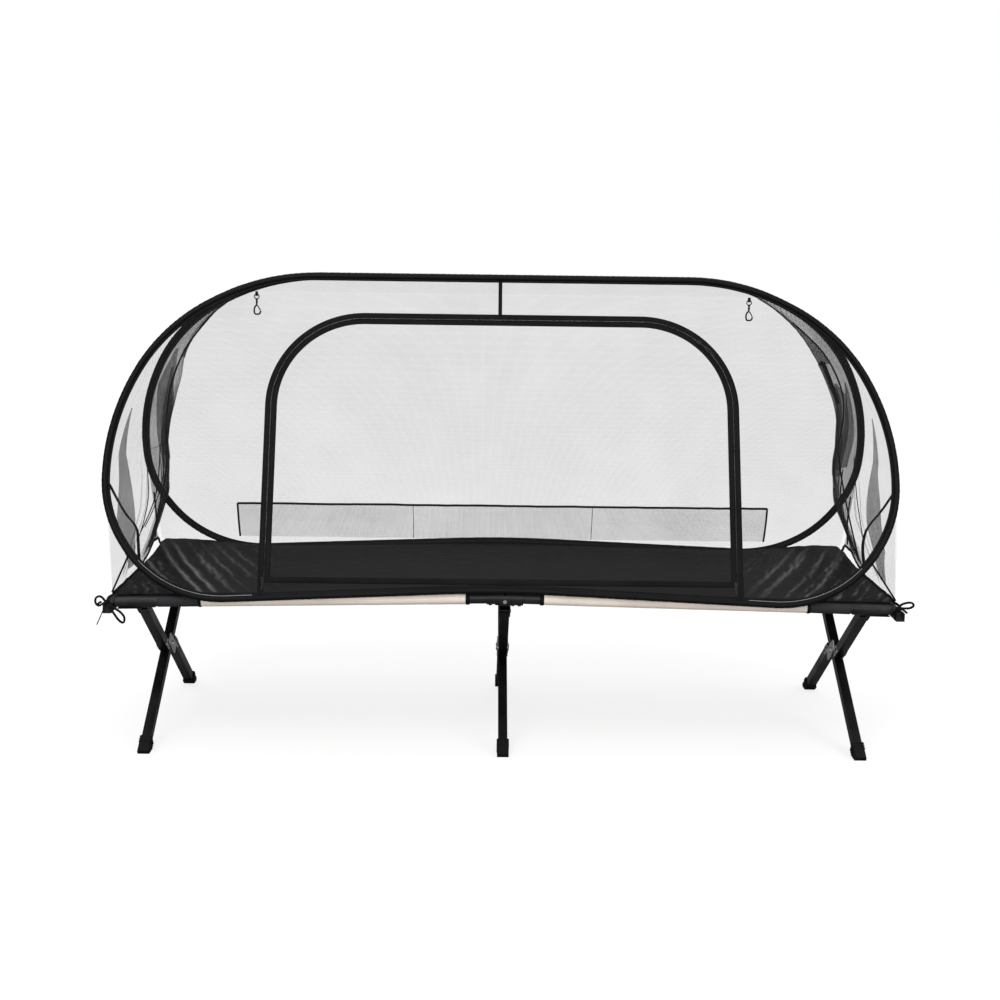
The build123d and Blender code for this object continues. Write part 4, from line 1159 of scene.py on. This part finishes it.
def fill_ends(obj, ring):
    """Close the open ends of a strip whose cross-sections have so many points."""
    data = obj.data
    points = [v.co.copy() for v in data.vertices]
    faces = [tuple(p.vertices) for p in data.polygons]
    faces.append(tuple(reversed(range(ring))))
    faces.append(tuple(range(len(points) - ring, len(points))))
    data.clear_geometry()
    data.from_pydata(points, [], faces)
    data.polygons.foreach_set("use_smooth", [True] * len(data.polygons))


def slider(name, x, v, turn, swing):
    """Zip slider: waisted body, bridge and a tapered pull that hangs from it."""
    ahead = Vector((-math.sin(turn), math.cos(turn)))
    sideways = Vector((math.cos(turn), math.sin(turn)))

    def place(a, b, out):
        spot = Vector((x, v)) + sideways * a + ahead * b
        return on_plane(FRONT, spot.x, spot.y, out)

    def slab(widths, low, high, lean=0.0):
        rows = []
        for b, half in widths:
            middle = lean * (b - widths[0][0])
            left, right = middle - half, middle + half
            level = (low + high) / 2
            rows.append([place(left, b, low), place(right, b, low), place(right + SLAB_BULGE, b, level),
                         place(right, b, high), place(left, b, high), place(left - SLAB_BULGE, b, level)])
        piece = grid("slab", rows, SLIDER_METAL, closed=True)
        fill_ends(piece, len(rows[0]))
        soften = piece.modifiers.new("soften", "SUBSURF")
        soften.levels = 2
        bpy.context.view_layer.objects.active = piece
        bpy.ops.object.modifier_apply(modifier="soften")
        return piece

    return join(name, [slab(*SLIDER_BODY), slab(*SLIDER_BRIDGE), slab(*SLIDER_PULL, swing)])


SLIDER_REST_V = 0.040
for end_name, side, swing in (("left", LEFT, 0.10), ("right", RIGHT, -0.08)):
    zip_slider = slider(f"zip_slider_{end_name}_metal", side * DOOR_HALF - 0.004, SLIDER_REST_V, 0.0, swing)
    dress(zip_slider, f"zip_{end_name}", [f"zip_slider_{end_name}"])
pair = []
for angle, swing in ((43.0, 0.15), (50.0, -0.1)):
    reach = math.radians(angle)
    x = DOOR_HALF - DOOR_R + DOOR_R * math.cos(reach)
    v = DOOR_TOP - DOOR_R + DOOR_R * math.sin(reach)
    pair.append(slider("pair", x, v, reach, swing))
dress(join("zip_slider_pair_metal", pair), "zip_pair", ["zip_slider_pair"])


# ---- sling -----------------------------------------------------------------------------
FULL_WRAP = math.radians(322)  # how far the sewn sleeve goes round a rail
BARE_WRAP = math.radians(2)
TIP_WRAP = math.radians(58)
SLEEVE_STEPS = 16
ACROSS_STEPS = 40
SLEEVE_SEEDS = {FRONT: 3.0, BACK: 5.0}


def sling_line(x, wrap, sag):
    """Cross-section of the sling at x: round the front rail, across, and round the back rail."""
    z = rail_z(x)

    def round_rail(row, k, share):
        """A point of a sleeve, a share of the wrap away from the rail's top."""
        radius = SLEEVE_R + 0.0003 * wander(x * 26, k * 0.6, SLEEVE_SEEDS[row])
        turn = wrap * share
        return Vector((x, row * RAIL_Y + radius * math.sin(turn), z + radius * math.cos(turn)))

    line = [round_rail(FRONT, k, 1 - k / SLEEVE_STEPS) for k in range(SLEEVE_STEPS + 1)]
    for k, y in list(enumerate(spread(-RAIL_Y, RAIL_Y, ACROSS_STEPS)))[1:-1]:
        dip = sag * math.sin(math.pi * k / ACROSS_STEPS) ** 0.7
        line.append(Vector((x, y, z + SLEEVE_R - dip + 0.0004 * wander(x * 8, y * 11, 6.0))))
    return line + [round_rail(BACK, k, k / SLEEVE_STEPS) for k in range(SLEEVE_STEPS + 1)]


def blended(obj, replaced=()):
    """Bake a sling piece's transform into its mesh and hide the parts it replaces."""
    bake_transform(obj)
    if replaced:
        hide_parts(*replaced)


beige_rows = [sling_line(x, BARE_WRAP if abs(x) < SLEEVE_START else FULL_WRAP, 0.006)
              for x in spread(-SLING_SEAM, SLING_SEAM, 240)]
blended(grid("sling_canvas", beige_rows, CANVAS), ["sling"])

end_sheets = []
for side in (LEFT, RIGHT):
    rows = []
    for reach in spread(SLING_SEAM + 0.0005, RAIL_REACH - 0.001, 40):
        wrap = FULL_WRAP + (TIP_WRAP - FULL_WRAP) * smooth(0.848, 0.856, reach)
        rows.append(sling_line(side * reach, wrap, 0.004))
    end_sheets.append(grid("end", rows, BLACK_CANVAS))
blended(join("sling_end_cloth", end_sheets), ["sling_ends"])


def collar(i):
    """Bound edge of a sleeve, thinner at its two rims."""
    return circle(SLEEVE_R + (0.0006 if i in (0, 4) else 0.0013), 28)


collars = []
seams = []
for side in (LEFT, RIGHT):
    for row in (FRONT, BACK):
        for start, width in ((SLING_SEAM - 0.004, 0.008), (SLEEVE_START - 0.004, 0.010)):
            xs = [side * reach for reach in spread(start, start + width, 4)]
            path = [Vector((x, row * RAIL_Y, rail_z(x))) for x in xs]
            collars.append(sweep("collar", path, collar, TAPE, side=(0, 0, 1), cap=False))
        for inset in (0.021, 0.026):
            xs = [side * reach for reach in spread(SLEEVE_START + 0.006, SLING_SEAM - 0.006, 60)]
            line = [Vector((x, row * (RAIL_Y - inset), rail_z(x) + SLEEVE_R - 0.0002)) for x in xs]
            seams.append(stitches("s", line, 0.0034, 0.0016, 0.00042, BEIGE_THREAD, side=(0, 1, 0)))
        x = side * (SLEEVE_START + 0.018)
        radius = SLEEVE_R + 0.0003
        ring = [Vector((x, row * RAIL_Y + radius * math.cos(a), rail_z(x) + radius * math.sin(a)))
                for a in spread(0.0, math.tau, 40)]
        seams.append(stitches("s", ring, 0.0030, 0.0016, 0.0004, BEIGE_THREAD, side=(1, 0, 0)))
blended(join("sleeve_collars", collars), ["sleeve_bindings"])
blended(join("sling_stitching", seams))


# ---- corner bows -----------------------------------------------------------------------
RIBBON_THICK = 0.0046
BOWS = {
    # ribbons of each bow: width, thickness, and places (out along the bed, up, out across it) from the knot
    LEFT: (
        (0.0050, RIBBON_THICK, (
            (0, 0), (0.004, 0.008, 0.002), (0.013, 0.019, 0.004), (0.025, 0.015, 0.004),
            (0.027, 0.001, 0.003), (0.019, -0.008, 0.001), (0.010, -0.002, -0.001), (0.003, 0.002, -0.001),
            (0, 0))),
        (0.0050, RIBBON_THICK, (
            (0, 0), (-0.006, -0.010, 0.001), (-0.016, -0.022, 0.003), (-0.029, -0.042, 0.004),
            (-0.041, -0.050, 0.003), (-0.044, -0.034, 0.002), (-0.032, -0.020, 0.001),
            (-0.014, -0.010, 0.001), (-0.002, -0.002, 0))),
        (0.0022, 0.0022, (
            (0.002, -0.002), (0.008, -0.016, 0.003), (0.016, -0.036, 0.004), (0.0245, -0.053, 0.003))),
        (0.0042, RIBBON_THICK, ((0.012, 0.004, 0.001), (0.018, 0.001, 0.002), (0.022, -0.004, 0.002))),
    ),
    RIGHT: (
        (0.0052, RIBBON_THICK, (
            (-0.012, 0.006), (-0.004, 0.016, 0.002), (0.008, 0.0225, 0.004), (0.024, 0.024, 0.004),
            (0.0305, 0.016, 0.003), (0.022, 0.009, 0.002), (0.008, 0.008, 0.001), (-0.004, 0.009, 0),
            (-0.012, 0.007, 0))),
        (0.0056, RIBBON_THICK, (
            (-0.014, 0.010), (-0.004, 0.009, 0.003), (0.006, 0.004, 0.004), (0.014, -0.003, 0.003))),
        (0.0048, RIBBON_THICK, (
            (-0.012, 0.006), (-0.002, 0.002, 0.004), (0.004, -0.008, 0.004), (0.006, -0.018, 0.002))),
    ),
}
KNOT_SHIFTS = {LEFT: (0, 0), RIGHT: (-0.008, 0.004)}
BACK_DROOP = 0.030
BACK_BOW_SIZE = 0.65


def ribbon(points, width, thick=RIBBON_THICK, side=(0, 1, 0)):
    path = curve(points)
    count = len(path)

    def profile(i):
        taper = 1.0 - 0.35 * smooth(0.9, 1.0, i / (count - 1))
        return strip_profile(width * taper, thick)

    return sweep("ribbon", path, profile, TAPE, side=side)


def wrap_band(side, row, shift):
    """Ribbon wound round the square bar's tip."""
    half = 0.0108
    y = row * (BAR_TIP_Y - 0.012 - shift)
    outline = rounded([(a * half, b * half, 0.003) for a, b in ((-1, -1), (1, -1), (1, 1), (-1, 1))], 0.0015)
    path = [Vector((side * BAR_X + p.x, y + 0.0015 * math.sin(i * 0.2), BAR_Z + p.y))
            for i, p in enumerate(outline)]
    return sweep("wrap", path, lambda i: strip_profile(0.0075, 0.0012), TAPE, side=(0, 1, 0), closed=True)


def bow(side, row):
    """Ribbon from the floor corner, wound round the bar's tip and tied in a bow."""
    knot = Vector((side * (BAR_X - 0.002), row * BAR_TIP_Y + row * 0.001, BAR_Z + 0.0175))
    corner = floor_edge(side, row * FLOOR_Y, 0.0) + Vector((-side * 0.002, -row * 0.002, 0))
    droop = BACK_DROOP if row == BACK else 0.0
    size = BACK_BOW_SIZE if row == BACK else 1.0

    def at(dx, dz, dy=0.0):
        return knot + Vector((side * dx * size, row * 0.007 + row * dy, dz * size - droop))

    parts = [wrap_band(side, row, 0.0), wrap_band(side, row, 0.008)]
    lead = [corner, corner.lerp(knot, 0.3) + Vector((side * 0.004, row * 0.004, 0.003)),
            corner.lerp(knot, 0.7) + Vector((side * 0.003, row * 0.006, 0.002)), knot]
    parts.append(ribbon(lead, 0.0060, side=(1, 0, 0.3)))
    for width, thick, places in BOWS[side]:
        parts.append(ribbon([at(*p) for p in places], width, thick))
    centre = knot + Vector((side * KNOT_SHIFTS[side][0], row * 0.005, KNOT_SHIFTS[side][1]))
    wind = [centre + Vector((0.0052 * math.cos(a), 0.0040 * math.sin(a) * row, 0.0046 * math.sin(a + 0.5)))
            for a in turns(24)]
    second = [p + Vector((0.001, 0.001 * row, 0.0028)) for p in wind]
    for path, radius in ((wind, 0.0034), (second, 0.0028)):
        parts.append(sweep("knot", path, lambda i, r=radius: circle(r, 10, 0.8), TAPE, closed=True))
    return parts


bow_parts = [part for side in (LEFT, RIGHT) for row in (FRONT, BACK) for part in bow(side, row)]
dress(join("corner_bows", bow_parts), "tent", ["corner_ties"])


# ---- stage, light and camera -----------------------------------------------------------
GLOW_NEAR = 0.77
GLOW_FAR = 0.86
STAGE = 30.0


def stage_material():
    """Pale studio floor: bright to the lens, dimmer as a light on the object."""
    n = Nodes("studio_floor")
    away = n.add("ShaderNodeVectorMath", {"operation": "LENGTH"}, Vector=n.coordinates).outputs["Value"]
    pale = n.tone(n.cloud(1.5, 2.0), (0.225, 0.225, 0.225), (0.230, 0.230, 0.230))
    seen = n.add("ShaderNodeBsdfPrincipled", Base_Color=pale, Roughness=0.9, Specular_IOR_Level=0.0,
                 Emission_Color=(1, 1, 1, 1), Emission_Strength=n.remap(away, 0.9, 2.6, GLOW_NEAR, GLOW_FAR))
    dim = n.add("ShaderNodeBsdfDiffuse", Color=(0.25, 0.25, 0.25, 1))
    return n.mixed(n.add("ShaderNodeLightPath").outputs["Is Camera Ray"], dim, seen)


stage_rows = [[Vector((x, y, 0.0)) for y in (-STAGE, 0.0, STAGE)] for x in (-STAGE, 0.0, STAGE)]
stage = grid("studio_floor", stage_rows, stage_material())


def area_light(name, place, target, size, power):
    data = bpy.data.lights.new(name, "AREA")
    data.shape = "RECTANGLE"
    data.size, data.size_y = size
    data.energy = power
    light = bpy.data.objects.new(name, data)
    light.location = place
    light.rotation_mode = "QUATERNION"
    light.rotation_quaternion = (Vector(target) - Vector(place)).to_track_quat("-Z", "Y")
    scene.collection.objects.link(light)


area_light("key", (-1.6, -2.6, 3.6), (0, 0, 0.5), (2.6, 1.6), 70)
area_light("fill", (2.8, -2.0, 2.6), (0, 0, 0.5), (1.8, 1.8), 36)
area_light("front", (0.0, -5.2, 1.5), (0, 0, 0.4), (5.0, 2.4), 170)
area_light("rim", (0.4, 2.6, 3.0), (0, 0, 0.6), (3.4, 1.2), 16)

# The sky is plain white to the lens. As a light it is dim near the horizon and brighter overhead.
SKY_HEIGHTS = (0.22, 0.85)
SKY_STRENGTHS = (0.02, 1.15)
world = bpy.data.worlds.new("studio")
scene.world = world
world.use_nodes = True
sky = world.node_tree
background = sky.nodes["Background"]
background.inputs[0].default_value = (1.0, 1.0, 1.0, 1)
direction = sky.nodes.new("ShaderNodeTexCoord")
height = sky.nodes.new("ShaderNodeSeparateXYZ")
overhead = sky.nodes.new("ShaderNodeMapRange")
for socket, value in zip(overhead.inputs[1:], SKY_HEIGHTS + SKY_STRENGTHS):
    socket.default_value = value
lens = sky.nodes.new("ShaderNodeLightPath")
strength = sky.nodes.new("ShaderNodeMix")
strength.inputs[3].default_value = 1.0
sky.links.new(direction.outputs["Generated"], height.inputs[0])
sky.links.new(height.outputs["Z"], overhead.inputs[0])
sky.links.new(lens.outputs["Is Camera Ray"], strength.inputs[0])
sky.links.new(overhead.outputs[0], strength.inputs[2])
sky.links.new(strength.outputs[0], background.inputs[1])
scene.view_settings.view_transform = "Standard"
scene.view_settings.look = "None"
scene.cycles.transparent_max_bounces = 48

CAMERA_PLACE = Vector((-0.06025, -4.0919, 1.2786))
CAMERA_YAW = 0.0119
CAMERA_PITCH = 0.1666
CAMERA_ROLL = 0.0135
CAMERA_LENS = 57.13
forward = Vector((math.sin(CAMERA_YAW) * math.cos(CAMERA_PITCH),
                  math.cos(CAMERA_YAW) * math.cos(CAMERA_PITCH), -math.sin(CAMERA_PITCH)))
level = Vector((math.cos(CAMERA_YAW), -math.sin(CAMERA_YAW), 0))
above = level.cross(forward)
right = level * math.cos(CAMERA_ROLL) + above * math.sin(CAMERA_ROLL)
up = above * math.cos(CAMERA_ROLL) - level * math.sin(CAMERA_ROLL)
camera_data = bpy.data.cameras.new("camera")
camera_data.lens = CAMERA_LENS
camera_data.sensor_width = 36.0
camera = bpy.data.objects.new("camera", camera_data)
turn = Matrix((right, up, -forward)).transposed().to_4x4()
camera.matrix_world = Matrix.Translation(CAMERA_PLACE) @ turn
scene.collection.objects.link(camera)
scene.camera = camera
